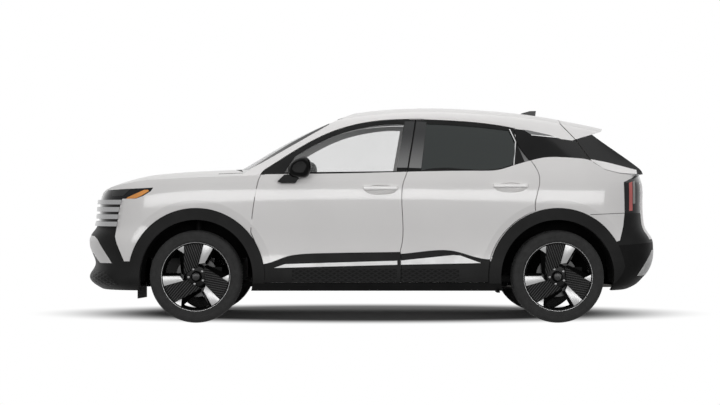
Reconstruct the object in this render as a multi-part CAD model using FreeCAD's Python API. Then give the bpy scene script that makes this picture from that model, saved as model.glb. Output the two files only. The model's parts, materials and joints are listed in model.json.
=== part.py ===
# Compact five-door crossover, built as body panels, closures, glass, running gear and cabin.
# Millimetres. The origin is on the ground under the middle of the car:
# +X runs to the tail, -Y to the driver's side, +Z up.
import FreeCAD, Part
import math
import os
from FreeCAD import Vector

os.makedirs("parts", exist_ok=True)
doc = FreeCAD.newDocument("suv")
sheet = doc.addObject("Spreadsheet::Sheet", "sizes")

# Driving sizes.
drivingSizes = [
    ("frontOverhang", 892), ("wheelbase", 2658), ("rearOverhang", 816),
    ("halfWidth", 892), ("beltHeight", 1110), ("roofHeight", 1622), ("bodyBase", 235),
    ("track", 1550), ("tyreRadius", 340), ("tyreWidth", 225), ("beadRadius", 246), ("beadWidth", 200),
    ("rimLip", 258), ("flangeDepth", 6), ("barrelWall", 7), ("spokeDepth", 26), ("spokeInset", 12),
    ("hubRadius", 78), ("capRadius", 29), ("capDepth", 6), ("bladeRise", 4),
    ("discRadius", 152), ("discDepth", 24), ("discInset", 62), ("hatRadius", 84),
    ("archRadius", 418), ("archBand", 87), ("wellDepth", 450), ("linerWall", 4),
    ("panelGap", 6), ("seamGap", 4), ("wallDepth", 75), ("frameDepth", 45), ("roofDepth", 30),
    ("bonnetDepth", 28), ("screenFrame", 50), ("glassDepth", 5), ("glassInset", 3),
    ("claddingProud", 8), ("claddingDepth", 14), ("claddingEdge", 5),
    ("doorBase", 300), ("floorDepth", 30), ("rockerInner", 690), ("rockerOuter", 762),
    ("postDepth", 45), ("postLength", 110), ("clearance", 5), ("seat", 0.3), ("crumb", 10),
    ("overrun", 400), ("slatRise", 22), ("slatHeight", 34), ("hingeHeight", 60), ("leafDepth", 3),
    ("ballInset", 70), ("ballRadius", 20), ("strutInset", 190), ("strutRadius", 22),
    ("mirrorLength", 168), ("mirrorHeight", 150), ("mirrorReach", 124),
    ("gripLength", 254), ("gripHeight", 28), ("gripProud", 20), ("gripDepth", 14), ("gripRound", 6),
    ("cupLength", 236), ("cupHeight", 76), ("cupDepth", 22),
    ("columnRadius", 24), ("wheelRadius", 175), ("wheelGrip", 14), ("wheelHub", 60), ("wheelDish", 30),
    ("pipeRadius", 20), ("flapDepth", 6),
]
for row, (alias, amount) in enumerate(drivingSizes, 1):
    sheet.set("A%d" % row, alias)
    sheet.set("B%d" % row, str(amount))
    sheet.setAlias("B%d" % row, alias)
doc.recompute()


class Sizes:
    def __getattr__(self, alias):
        return float(sheet.get(alias))


size = Sizes()
length = size.frontOverhang + size.wheelbase + size.rearOverhang
frontAxle = size.frontOverhang - length / 2
rearAxle = frontAxle + size.wheelbase
nose = -length / 2
tail = length / 2
axleHeight = size.tyreRadius
faceY = size.track / 2
shearShare = 0.3
leanShare = 0.475
shoulderShare = 0.92
nodes = []


# Stations: -1 nose, 0 front axle, 1 rear axle, 2 tail.
def along(share):
    if share < 0:
        return frontAxle + share * size.frontOverhang
    if share > 1:
        return rearAxle + (share - 1) * size.rearOverhang
    return frontAxle + share * size.wheelbase


# Levels: 0 ground, 1 belt line, 2 top of the roof.
def up(share):
    if share <= 1:
        return share * size.beltHeight
    return size.beltHeight + (share - 1) * (size.roofHeight - size.beltHeight)


def out(share):
    return share * size.halfWidth


def spline(points):
    curve = Part.BSplineCurve()
    curve.interpolate(points)
    return curve.toShape()


# A cubic surface whose control points are the rows given.
def gridFace(rows):
    surface = Part.BSplineSurface()
    knots = [list(range(count - 2)) for count in (len(rows), len(rows[0]))]
    repeats = [[4] + [1] * (len(ks) - 2) + [4] for ks in knots]
    surface.buildFromPolesMultsKnots(rows, repeats[0], repeats[1], knots[0], knots[1], False, False, 3, 3)
    return surface.toShape()


def mirrored(shape):
    return shape.mirror(Vector(0, 0, 0), Vector(0, 1, 0))


def solidOf(faces):
    shell = Part.makeShell(faces)
    shell.sewShape()
    solid = Part.makeSolid(shell)
    if solid.Volume < 0:
        solid.reverse()
    return solid


def solidsOf(shape, crumbs=1):
    return [solid for solid in shape.Solids if solid.Volume > crumbs * size.crumb ** 3]


def joined(shapes):
    return shapes[0].fuse(shapes[1:]) if len(shapes) > 1 else shapes[0]


def box(x0, x1, y0, y1, z0, z1):
    return Part.makeBox(x1 - x0, y1 - y0, z1 - z0, Vector(x0, y0, z0))


# Outlines in a view: a list of stretches, each straight for two points and curved for more.
def corners(outline):
    points = []
    for stretch in outline:
        for point in stretch:
            if not points or math.dist(points[-1], point) > size.seat:
                points.append(point)
    if math.dist(points[0], points[-1]) <= size.seat:
        points.pop()
    return points


def grown(outline, distance):
    points = corners(outline)
    area = sum(a[0] * b[1] - b[0] * a[1] for a, b in zip(points, points[1:] + points[:1]))
    turn = 1 if area > 0 else -1
    moved = []
    for i, point in enumerate(points):
        before, after = points[i - 1], points[(i + 1) % len(points)]
        normals = []
        for start, end in ((before, point), (point, after)):
            reach = math.dist(start, end)
            normals.append((turn * (end[1] - start[1]) / reach, -turn * (end[0] - start[0]) / reach))
        (ax, az), (bx, bz) = normals
        spread = max(1 + ax * bx + az * bz, 0.4)
        moved.append((point[0] + distance * (ax + bx) / spread, point[1] + distance * (az + bz) / spread))
    result = []
    for stretch in outline:
        result.append([moved[points.index(min(points, key=lambda p: math.dist(p, q)))] for q in stretch])
    return result


def outlineFace(outline, place):
    edges = []
    last = None
    for stretch in outline + [[outline[0][0]]]:
        spots = [place(*point) for point in stretch]
        if last is not None and last.distanceToPoint(spots[0]) > size.seat:
            edges.append(Part.makeLine(last, spots[0]))
        if len(spots) == 2:
            edges.append(Part.makeLine(spots[0], spots[1]))
        elif len(spots) > 2:
            edges.append(spline(spots))
        last = spots[-1]
    return Part.Face(Part.Wire(Part.__sortEdges__(edges)))


# Half-width of the skin at a level, used to place sheared cuts.
def lean(z):
    if z <= size.beltHeight * shoulderShare:
        return size.halfWidth
    return size.halfWidth - leanShare * (z - size.beltHeight * shoulderShare)


def side(shares):
    return [(along(x), up(z)) for x, z in shares]


# A prism across the driver's side, from outside the skin to a depth, cut square or sheared.
def sidePrism(outline, grow=0, shear=0, inner=None, outer=None):
    inner = size.halfWidth - size.overrun if inner is None else inner
    outer = size.halfWidth + size.overrun if outer is None else outer
    shape = grown(outline, grow) if grow else outline

    def place(x, z):
        return Vector(x + shear * (outer - lean(z)), -outer, z)
    return outlineFace(shape, place).extrude(Vector(-shear * (outer - inner), outer - inner, 0))


def planPrism(outline, grow=0, z0=None, z1=None):
    shape = grown(outline, grow) if grow else outline
    low = 0 if z0 is None else z0
    high = size.roofHeight if z1 is None else z1
    return outlineFace(shape, lambda x, y: Vector(x, y, low)).extrude(Vector(0, 0, high - low))


def frontPrism(outline, x0, x1, grow=0):
    shape = grown(outline, grow) if grow else outline
    return outlineFace(shape, lambda y, z: Vector(x0, y, z)).extrude(Vector(x1 - x0, 0, 0))


def keep(name, shape, crumbs=1):
    found = solidsOf(shape, crumbs)
    feature = doc.addObject("Part::Feature", name)
    feature.Shape = found[0] if len(found) == 1 else Part.makeCompound(found)
    feature.Label = name
    nodes.append(feature)
    return feature.Shape


def keepPair(name, shape, crumbs=1):
    return keep(name, Part.makeCompound(solidsOf(shape, crumbs) + solidsOf(mirrored(shape), crumbs)), crumbs)


# Lower body: rows of level, nose setback, tail setback, half-width and waist, all shares.
lowerRowShares = [
    (0.212, 0.106, 0.245, 0.940, 0.009), (0.236, 0.050, 0.159, 0.968, 0.009),
    (0.270, 0.002, 0.122, 0.982, 0.009), (0.311, 0.009, 0.061, 0.987, 0.009),
    (0.369, 0.072, 0.015, 0.989, 0.012), (0.428, 0.045, 0.002, 0.989, 0.022),
    (0.491, 0.007, 0.000, 0.988, 0.021), (0.545, 0.003, 0.004, 0.988, 0.017),
    (0.590, 0.028, 0.049, 0.989, 0.014), (0.631, 0.083, 0.088, 0.992, 0.012),
    (0.721, 0.094, 0.100, 0.998, 0.008), (0.811, 0.099, 0.103, 1.000, 0.003),
    (0.865, 0.123, 0.098, 0.998, 0.002), (0.922, 0.168, 0.104, 0.990, 0.001),
    (0.955, 0.215, 0.118, 0.976, 0.000), (1.000, 0.270, 0.140, 0.957, 0.000),
    (1.098, 0.340, 0.175, 0.930, 0.000), (1.250, 0.420, 0.230, 0.885, 0.000),
]
noseShares = [(0, 0), (0.008, 0.20), (0.040, 0.42), (0.092, 0.66), (0.190, 0.83), (0.400, 0.945)]
flankShares = [(0, 0.99, 0), (0.25, 1, 0.7), (0.5, 1, 1), (0.78, 1, 0.6), (1, 0.998, 0)]
tailShares = [(0.404, 0.970), (0.225, 0.89), (0.112, 0.74), (0.055, 0.45), (0.012, 0.20), (0, 0)]


def lowerRow(level, noseBack, tailBack, width, waist, inset):
    wide = out(width)
    start = nose + noseBack * size.frontOverhang
    end = tail - tailBack * size.rearOverhang
    points = [(start + back * size.frontOverhang, spread * wide) for back, spread in noseShares]
    points += [(along(at), spread * wide - hollow * out(waist)) for at, spread, hollow in flankShares]
    points += [(rearAxle + tailShares[0][0] * size.rearOverhang, tailShares[0][1] * wide)]
    points += [(end - back * size.rearOverhang, spread * wide) for back, spread in tailShares[1:]]
    row = []
    for i, (x, y) in enumerate(points):
        before, after = points[max(i - 1, 0)], points[min(i + 1, len(points) - 1)]
        run, rise = after[0] - before[0], after[1] - before[1]
        if i == 0:
            run, rise = 0, 1
        if i == len(points) - 1:
            run, rise = 0, -1
        reach = math.hypot(run, rise)
        row.append(Vector(x + inset * rise / reach, -(y - inset * run / reach), up(level)))
    return row


def lowerBody(inset):
    face = gridFace([lowerRow(*row, inset) for row in lowerRowShares])
    other = mirrored(face)
    lids = []
    for level in (lowerRowShares[0][0], lowerRowShares[-1][0]):
        rims = [edge for part in (face, other) for edge in part.Edges
                if max(abs(v.z - up(level)) for v in edge.discretize(5)) < size.seat]
        lids.append(Part.Face(Part.Wire(Part.__sortEdges__(rims))))
    return solidOf([face, other] + lids)


# Bonnet and belt surfaces that close the lower body.
bonnetShares = [(-1.150, 0.700), (-1.020, 0.772), (-0.907, 0.840), (-0.803, 0.893), (-0.729, 0.924),
                (-0.619, 0.953), (-0.483, 0.981), (-0.396, 0.995), (-0.045, 1.037), (0.108, 1.062),
                (0.180, 1.075), (0.260, 1.085)]
crownShares = [(-1.25, 0.120), (-0.92, 0.041), (-0.75, 0.024), (-0.45, 0.007), (0, 0)]
beltShares = [(0.050, 0.970), (0.195, 0.984), (0.356, 0.988), (0.573, 1.000), (0.784, 1.016), (0.840, 1.033),
              (0.879, 1.094), (0.926, 1.164), (0.960, 1.205), (1.136, 1.205), (1.337, 1.145), (1.438, 1.043),
              (1.576, 0.996), (1.690, 0.989), (2.100, 0.980)]
cowlStation = 0.190


def bonnetFace(drop=0):
    spread = crownShares + [(-y, fall) for y, fall in reversed(crownShares[:-1])]
    rows = []
    for y, fall in spread:
        rows.append([Vector(along(x), out(y), up(z) - fall * size.beltHeight - drop) for x, z in bonnetShares])
    return gridFace(rows)


high = Vector(0, 0, size.roofHeight)
aboveBonnet = bonnetFace().extrude(high)
farSide = size.halfWidth + size.overrun
cowlX = along(cowlStation)
beltLine = side(beltShares)
beltLid = outlineFace([beltLine, [beltLine[-1], (beltLine[-1][0], 2 * size.roofHeight)],
                       [(beltLine[0][0], 2 * size.roofHeight), beltLine[0]]],
                      lambda x, z: Vector(x, -farSide, z)).extrude(Vector(0, 2 * farSide, 0))
frontRoom = box(nose - size.overrun, cowlX, -farSide, farSide, 0, 2 * size.roofHeight)
backRoom = box(cowlX, tail + size.overrun, -farSide, farSide, 0, 2 * size.roofHeight)
topCut = aboveBonnet.common(frontRoom).fuse(beltLid.common(backRoom))

skin = lowerBody(0)
hull = skin.cut(topCut)
hollow = lowerBody(size.wallDepth)
wall = hull.cut(hollow)
bonnetSheet = bonnetFace().extrude(Vector(0, 0, -size.bonnetDepth)).common(frontRoom)
bonnetLayer = skin.common(bonnetSheet)
coat = lowerBody(-size.claddingProud).cut(lowerBody(size.claddingDepth - size.claddingProud))

# Greenhouse: stations of roof level, belt half-width and roof half-width.
roofShares = [
    (0.053, 1.547, 0.905, 0.640), (0.204, 1.723, 0.930, 0.672), (0.335, 1.838, 0.942, 0.700),
    (0.439, 1.910, 0.945, 0.712), (0.513, 1.958, 0.945, 0.718), (0.614, 1.988, 0.944, 0.720),
    (0.715, 1.980, 0.940, 0.715), (0.805, 1.951, 0.935, 0.708), (0.918, 1.902, 0.922, 0.692),
    (1.001, 1.836, 0.905, 0.670), (1.150, 1.787, 0.880, 0.640), (1.324, 1.738, 0.850, 0.610),
    (1.498, 1.676, 0.810, 0.580), (1.960, 1.508, 0.720, 0.500),
]
# Section of the cabin: share of the roof half-width, or of the belt, and drop below the roof.
crestShares = [(1, 0.166), (0.956, 0.100), (0.875, 0.066), (0.620, 0.028), (0.300, 0.007), (0, 0)]


def cabinSection(station, top, beltWide, roofWide, inset, lower):
    x = along(station)
    rise = size.roofHeight - size.beltHeight
    crest = up(top) - inset * size.roofDepth / size.frameDepth
    belt, roof = out(beltWide) - inset, out(roofWide) - inset
    base = up(0.93) - lower
    flare = (belt - roof) / (crest - crestShares[0][1] * rise - size.beltHeight)
    shoulder = crest - crestShares[0][1] * rise
    half = [(belt + flare * (size.beltHeight - base), base), (belt, size.beltHeight),
            (0.5 * (belt + roof) + 0.012 * belt, 0.5 * (size.beltHeight + shoulder))]
    half += [(spread * roof, crest - drop * rise) for spread, drop in crestShares]
    left = [Vector(x, -y, z) for y, z in half]
    return left + [Vector(x, y, z) for y, z in reversed(half[:-1])]


def cabin(inset, lower=0):
    rows = [cabinSection(*row, inset, lower) for row in roofShares]
    face = gridFace(rows)
    ends = []
    for row in (rows[0], rows[-1]):
        arc = [edge for edge in face.Edges
               if max(abs(v.x - row[0].x) for v in edge.discretize(5)) < size.seat]
        ends.append(Part.Face(Part.Wire(Part.__sortEdges__(arc + [Part.makeLine(row[0], row[-1])]))))
    skirt = [edge for edge in face.Edges
             if max(abs(v.z - rows[0][0].z) for v in edge.discretize(5)) < size.seat]
    sills = [Part.makeLine(row[0], row[-1]) for row in (rows[0], rows[-1])]
    ends.append(Part.Face(Part.Wire(Part.__sortEdges__(skirt + sills))))
    return solidOf([face] + ends)


screenShares = [(0.000, 0.880), (0.021, 0.905), (0.068, 0.968), (0.108, 1.062), (0.204, 1.367), (0.288, 1.596),
                (0.368, 1.779), (0.448, 1.925), (0.520, 2.040)]
backlightShares = [(1.880, 0.780), (1.875, 0.900), (1.868, 0.990), (1.850, 1.030), (1.819, 1.072), (1.712, 1.201),
                   (1.498, 1.436), (1.396, 1.557), (1.237, 1.762), (1.089, 1.996)]
screenCurve = [(-1.15, 0.074), (-0.75, 0.030), (-0.4, 0.008), (0, 0)]
screenSlope = Vector(-0.468, 0, 0.884)
backlightSlope = Vector(0.579, 0, 0.815)


def slopedTool(shares, bend, slope, depth):
    spread = screenCurve + [(-y, back) for y, back in reversed(screenCurve[:-1])]
    rows = []
    for y, back in spread:
        rows.append([Vector(along(x) + bend * back * size.wheelbase, out(y), up(z)) - slope * depth
                     for x, z in shares])
    return gridFace(rows).extrude(slope * length)


def slopedSheet(shares, bend, slope, near, far):
    return slopedTool(shares, bend, slope, far).cut(slopedTool(shares, bend, slope, near))


def screenTool(depth):
    return slopedTool(screenShares, 1, screenSlope, depth)


def backlightTool(depth):
    return slopedTool(backlightShares, -0.6, backlightSlope, depth)


cabinSkin = cabin(0)
cabinHull = cabinSkin.cut(screenTool(0)).cut(backlightTool(0)).common(topCut)
cabinRoom = cabin(size.frameDepth, size.wallDepth)
cabinHollow = cabinRoom.cut(screenTool(size.screenFrame)).cut(backlightTool(size.screenFrame))
cabinWall = cabinHull.cut(cabinHollow)


def paneLayer(outer, depth):
    return cabin(outer).cut(cabin(outer + depth, size.wallDepth))


sidePane = paneLayer(size.glassInset, size.glassDepth)
trimLayer = cabinSkin.cut(cabin(size.claddingDepth, size.wallDepth))

# Shut lines of the doors, in the side view.
doorTopShares = [(0.195, 1.033), (0.288, 1.338), (0.351, 1.518), (0.415, 1.648), (0.478, 1.723),
                 (0.557, 1.762), (0.610, 1.764)]
rearTopShares = [(0.610, 1.764), (0.699, 1.746), (0.784, 1.715), (0.892, 1.631)]
hingeLineShares = [(0.155, 0.602), (0.160, 0.753), (0.168, 0.868), (0.177, 0.959), (0.195, 1.033)]
pillarLineShares = [(0.610, 1.764), (0.6037, 1.580), (0.5961, 1.360), (0.5892, 1.160), (0.584, 1.008),
                    (0.574, 0.928), (0.569, 0.830), (0.568, 0.483)]
rearLineShares = [(0.892, 1.631), (0.926, 1.164), (0.941, 1.043), (0.948, 0.973), (0.945, 0.881),
                  (0.937, 0.742)]
cladRadius = size.archRadius + size.archBand


def archPoint(axle, radius, z, toward):
    return (axle + toward * math.sqrt(radius ** 2 - (z - axleHeight) ** 2), z)


def archStretch(axle, radius, zs, toward):
    return [archPoint(axle, radius, z, toward) for z in zs]


doorFoot = size.doorBase
edgeRadius = cladRadius + size.panelGap
frontArch = archStretch(frontAxle, edgeRadius, [doorFoot, up(0.36), up(0.45), up(0.53)], 1)
rearArch = archStretch(rearAxle, edgeRadius, [up(0.742), up(0.66), up(0.55), up(0.42), doorFoot], -1)
half = size.panelGap / 2
pillarLine = side(pillarLineShares)
pillarFoot = (pillarLine[-1][0], doorFoot)
frontDoor = [frontArch, [frontArch[-1], side(hingeLineShares)[0]], side(hingeLineShares), side(doorTopShares),
             [(x - half, z) for x, z in pillarLine], [(pillarFoot[0] - half, doorFoot), frontArch[0]]]
frontDoor[3] = frontDoor[3][:-1] + [(frontDoor[3][-1][0] - half, frontDoor[3][-1][1])]
rearTop = side(rearTopShares)
rearDoor = [[(x + half, z) for x, z in reversed(pillarLine)], [(rearTop[0][0] + half, rearTop[0][1])] + rearTop[1:],
            side(rearLineShares), rearArch, [rearArch[-1], (pillarFoot[0] + half, doorFoot)]]

frontDoorCut = sidePrism(frontDoor, 0, shearShare)
rearDoorCut = sidePrism(rearDoor, 0, shearShare)
frontDoorHole = sidePrism(frontDoor, size.panelGap, shearShare)
rearDoorHole = sidePrism(rearDoor, size.panelGap, shearShare)
# The two doorways meet above the middle post in one level head.
headX, headZ = pillarLine[0]
headTop = headZ + size.panelGap + size.seamGap / 2
headRing = [(headX - size.hingeHeight, headZ - size.hingeHeight), (headX + size.hingeHeight, headZ - size.hingeHeight),
            (headX + size.hingeHeight, headTop), (headX - size.hingeHeight, headTop)]
headHole = sidePrism([[a, b] for a, b in zip(headRing, headRing[1:] + headRing[:1])], 0, shearShare)

# Windows.
frontPane = [side([(0.245, 0.998), (0.273, 1.227)]), side([(0.273, 1.227), (0.351, 1.453), (0.415, 1.584),
             (0.478, 1.658), (0.557, 1.697), (0.576, 1.693)]), side([(0.576, 1.693), (0.554, 1.012)]),
             side([(0.554, 1.012), (0.356, 1.000), (0.245, 0.998)])]
rearPane = [side([(0.623, 1.023), (0.639, 1.703)]), side([(0.639, 1.703), (0.699, 1.688), (0.784, 1.656),
            (0.868, 1.605)]), side([(0.868, 1.605), (0.883, 1.424), (0.875, 1.107)]),
            side([(0.875, 1.107), (0.840, 1.051), (0.784, 1.031), (0.623, 1.023)])]
frontPaneCut = sidePrism(frontPane, 0, 0)
rearPaneCut = sidePrism(rearPane, 0, 0)

# Cladding along the doors' feet.
frontCladShares = [(0.100, 0.380), (0.181, 0.388), (0.207, 0.402), (0.249, 0.439), (0.281, 0.454),
                   (0.344, 0.462), (0.450, 0.467), (0.600, 0.473)]
rearCladShares = [(0.500, 0.473), (0.640, 0.477), (0.714, 0.476), (0.737, 0.462), (0.795, 0.425),
                  (0.821, 0.421), (0.900, 0.421)]


def footCladding(shares):
    line = side(shares)
    return [line, [line[-1], (line[-1][0], 0)], [(line[0][0], 0), line[0]]]


wells = []
for axle in (frontAxle, rearAxle):
    wells.append(Part.makeCylinder(size.archRadius, size.overrun + size.wellDepth,
                                   Vector(axle, -farSide, axleHeight), Vector(0, 1, 0)))
archBands = []
for axle in (frontAxle, rearAxle):
    ring = Part.makeCylinder(cladRadius, size.overrun + size.wallDepth,
                             Vector(axle, -farSide, axleHeight), Vector(0, 1, 0))
    archBands.append(ring)
leftSide = box(nose - size.overrun, tail + size.overrun, -farSide, 0, 0, 2 * size.roofHeight)


# Door grip: a bar across an oval cup in the skin.
def gripAt(station, level, reach):
    middle = Vector(along(station), -out(reach), up(level))
    stretch = FreeCAD.Matrix()
    stretch.scale(size.cupLength / 2, size.cupDepth, size.cupHeight / 2)
    cup = Part.makeSphere(1).transformGeometry(stretch).translated(middle)
    bar = Part.makeBox(size.gripLength, size.gripDepth + size.gripProud, size.gripHeight,
                       middle - Vector(size.gripLength / 2, size.gripProud, 0))
    slot = Part.makeBox(size.cupLength - size.cupDepth, size.gripProud, size.cupHeight,
                        middle - Vector((size.cupLength - size.cupDepth) / 2, 0, size.cupHeight / 2))
    return cup, bar.makeFillet(size.gripRound, bar.Edges).cut(slot)


def door(cut, pane, paneCut, cladShares, grip):
    lower = wall.common(cut).cut(joined(archBands + wells))
    cladding = coat.common(cut).common(sidePrism(footCladding(cladShares))).cut(joined(archBands))
    upper = cabinWall.common(cut).cut(paneCut)
    frame = trimLayer.common(upper)
    cup, bar = gripAt(*grip)
    shell = joined([lower.cut(cladding).cut(cup), upper.cut(frame), bar])
    glass = sidePane.common(sidePrism(pane, 0, 0)).common(topCut)
    return shell, frame, cladding, glass


# Door mirror: a head lofted outwards and a foot on the door's shoulder.
headShares = [(-0.95, -0.35), (-0.70, 0.45), (-0.10, 0.92), (0.60, 1.0), (0.98, 0.55), (1.0, -0.35),
              (0.70, -0.92), (-0.10, -1.0), (-0.75, -0.80)]
headScaleShares = [(-0.32, 0.45), (-0.15, 0.85), (0.20, 1.0), (0.62, 0.97), (0.90, 0.80), (1.0, 0.45)]
headCentreShares = (0.286, 1.0625)
footShares = [(0.226, 0.937), (0.245, 0.980), (0.281, 0.988), (0.285, 0.955), (0.275, 0.925), (0.237, 0.925)]


def mirrorShape(carriers):
    wires = []
    for reach, scale in headScaleShares:
        y = -(size.halfWidth + reach * size.mirrorReach)
        ring = [Vector(along(headCentreShares[0]) + scale * u * size.mirrorLength / 2, y,
                       up(headCentreShares[1]) + scale * v * size.mirrorHeight / 2) for u, v in headShares]
        curve = Part.BSplineCurve()
        curve.interpolate(ring, PeriodicFlag=True)
        wires.append(Part.Wire([curve.toShape()]))
    head = Part.makeLoft(wires, True)
    foot = side(footShares)
    foot = Part.Face(Part.makePolygon([Vector(x, -out(1.036), z) for x, z in foot + foot[:1]]))
    return head.fuse(foot.extrude(Vector(0, out(0.085), 0))).cut(carriers)


frontParts = door(frontDoorCut, frontPane, frontPaneCut, frontCladShares, (0.510, 0.880, 0.990))
rearParts = door(rearDoorCut, rearPane, rearPaneCut, rearCladShares, (0.869, 0.896, 0.990))
frontParts = (frontParts[0], Part.makeCompound([frontParts[1], mirrorShape(list(frontParts[:2]))])) + frontParts[2:]
for name, parts in (("front", frontParts), ("rear", rearParts)):
    shell, frame, cladding, glass = parts
    for label, flip in (("left", False), ("right", True)):
        turn = mirrored if flip else (lambda shape: shape)
        keep("%s_door_%s" % (name, label), turn(shell))
        keep("%s_door_trim_%s" % (name, label), turn(Part.makeCompound(solidsOf(frame) + solidsOf(cladding))))
        keep("%s_door_glass_%s" % (name, label), turn(glass))

# Regions of the nose and tail in the side view.
noseRegion = side([(-1.4, 0), (-1.4, 0.815), (-0.840, 0.815), (-0.617, 0.822), (-0.498, 0.823), (-0.436, 0.833),
                   (-0.332, 0.734), (-0.302, 0.667), (0, 0.306), (0, 0)])
lampRegion = side([(-1.4, 0.815), (-1.4, 0.868), (-0.771, 0.880), (-0.354, 0.896), (-0.374, 0.872), (-0.438, 0.841),
                   (-0.498, 0.823), (-0.617, 0.822), (-0.840, 0.815)])
cornerRegion = side([(-0.617, 0.822), (-0.632, 0.786), (-0.648, 0.735), (-0.655, 0.691), (-0.677, 0.571),
                     (-0.664, 0.528), (-0.601, 0.407), (0, 0.406), (0, 0.667), (-0.302, 0.667), (-0.332, 0.734),
                     (-0.436, 0.833), (-0.498, 0.823)])
fangRegion = side([(-1.2, 0.580), (-0.877, 0.571), (-0.841, 0.550), (-0.710, 0.393), (-0.828, 0.391),
                   (-0.896, 0.443), (-0.950, 0.467), (-1.2, 0.462)])
grilleRegion = side([(-1.4, 0.640), (-1.4, 0.868), (-0.771, 0.880), (-0.5, 0.880), (-0.5, 0.640)])
tailLampRegion = side([(1.605, 0.933), (1.804, 0.995), (1.831, 0.986), (2.5, 0.986), (2.5, 0.727), (1.610, 0.727)])
rearBumperRegion = side([(1.610, 0.727), (1.597, 0.640), (1.565, 0.545), (1.491, 0.528), (1, 0.306), (1, 0),
                         (2.5, 0), (2.5, 0.727)])
gateRegion = side([(1.195, 1.484), (1.337, 1.145), (1.438, 1.043), (1.576, 0.996), (1.690, 0.988), (2.5, 0.988),
                   (2.5, 2.3), (1.064, 2.3), (1.064, 1.711)])
spoilerRegion = side([(1.064, 1.711), (1.195, 1.484), (1.436, 1.596), (1.498, 1.676), (1.498, 2.2), (1.064, 2.2)])
quarterRegion = side([(0.86, 0.9), (0.892, 1.625), (0.922, 1.615), (0.983, 1.545), (1.060, 1.484), (1.161, 1.465),
                      (1.195, 1.484), (1.337, 1.145), (1.4, 0.9)])
bonnetRear = [(along(0.091), 0), (along(0.098), out(0.40)), (along(0.119), out(0.71)), (along(0.130), out(0.832))]
bonnetFront = [(along(-0.560), out(0.800)), (along(-0.720), out(0.700)), (along(-0.800), out(0.550)),
               (along(-0.850), out(0.350)), (along(-0.872), 0)]


def region(points, grow=0):
    ring = [[a, b] for a, b in zip(points, points[1:] + points[:1])]
    shape = sidePrism(ring, grow, 0, 0, farSide)
    return shape.fuse(mirrored(shape)).removeSplitter()


def halves(lower, higher):
    return [box(nose - size.overrun, tail + size.overrun, -higher, -lower, 0, 2 * size.roofHeight),
            box(nose - size.overrun, tail + size.overrun, lower, higher, 0, 2 * size.roofHeight)]


lampInner = out(0.48)
tailLampInner = out(0.70)
noseZone = region(noseRegion)
lampZone = region(lampRegion).common(Part.makeCompound(halves(lampInner, farSide)))
cornerZone = region(cornerRegion)
fangZone = region(fangRegion)
tailLampZone = region(tailLampRegion).common(Part.makeCompound(halves(tailLampInner, farSide)))
bumperZone = region(rearBumperRegion)
gateFoot = up(0.549)
gateSide = tailLampInner - size.panelGap


def gateZone(grow):
    lower = box(along(1.6), tail + size.overrun, -gateSide - grow, gateSide + grow, gateFoot - grow, up(1.0))
    return region(gateRegion, grow).fuse(lower)


def bonnetZone(grow):
    rear = bonnetRear
    mirror = [(x, -y) for x, y in reversed(bonnetRear[1:])]
    front = bonnetFront + [(x, -y) for x, y in reversed(bonnetFront[:-1])]
    outline = [mirror + rear, [rear[-1], front[0]], front, [front[-1], mirror[0]]]
    return planPrism(outline, grow, up(0.5), 2 * size.roofHeight)


gate = gateZone(0)
gateHole = gateZone(size.panelGap)
bonnetHole = bonnetZone(size.panelGap)
doorHoles = [frontDoorHole, rearDoorHole, headHole]
doorHoles += [mirrored(hole) for hole in doorHoles]
allWells = wells + [mirrored(well) for well in wells]

# Arch claddings, proud of the skin.
archFoot = up(0.262)
bands = joined(archBands).cut(joined(wells))
aboveFoot = box(nose - size.overrun, tail + size.overrun, -farSide, farSide, archFoot, size.roofHeight)
archCladding = coat.common(bands).common(leftSide).common(aboveFoot)
allArches = Part.makeCompound([archCladding, mirrored(archCladding)])
keepPair("arch_claddings", archCladding)

# What is left of the lower wall once openings, arches and closures are out.
openWall = wall.cut(joined(allWells)).cut(allArches)
fixedWall = openWall.cut(doorHoles + [gateHole, bonnetHole])

keep("bonnet", bonnetLayer.common(bonnetZone(0)))
noseWall = fixedWall.common(noseZone)
corner = noseWall.common(cornerZone)
fang = noseWall.common(fangZone)
grilleZone = region(grilleRegion)
headlamps = fixedWall.common(lampZone)
keep("front_bumper", Part.makeCompound([corner, fang]))
keep("headlamps", headlamps)
grille = fixedWall.common(grilleZone).cut([lampZone, cornerZone]).common(
    box(nose, along(-0.55), -farSide, farSide, 0, size.roofHeight))
keep("grille", grille)
chin = noseWall.cut([cornerZone, fangZone, grilleZone])
# Air flaps ahead of the front wheels.
flapShares = [(-0.475, 0.955), (-0.430, 0.715)]


def flapShape(shares, low, high):
    (x0, y0), (x1, y1) = [(along(x), -out(y)) for x, y in shares]
    ring = [Vector(x0, y0, low), Vector(x1, y1, low), Vector(x1 - size.flapDepth, y1, low),
            Vector(x0 - size.flapDepth, y0, low)]
    return Part.Face(Part.makePolygon(ring + ring[:1])).extrude(Vector(0, 0, high - low))


flap = flapShape(flapShares, up(0.162), up(0.240))
keep("front_bumper_lower", joined(solidsOf(chin) + [flap, mirrored(flap)]))

# Four slats stand proud of the grille.
slatTop = up(0.800)
slatPitch = up(0.0487)
slatBody = lowerBody(-size.slatRise).cut(skin).cut([cornerZone]).common(
    box(nose - size.overrun, along(-0.60), -farSide, farSide, 0, size.roofHeight))
slats = []
for i in range(4):
    middle = slatTop - i * slatPitch
    slats.append(slatBody.common(box(nose - size.overrun, along(-0.5), -farSide, farSide,
                                     middle - size.slatHeight / 2, middle + size.slatHeight / 2)))
keep("grille_slats", Part.makeCompound(slats))

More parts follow.
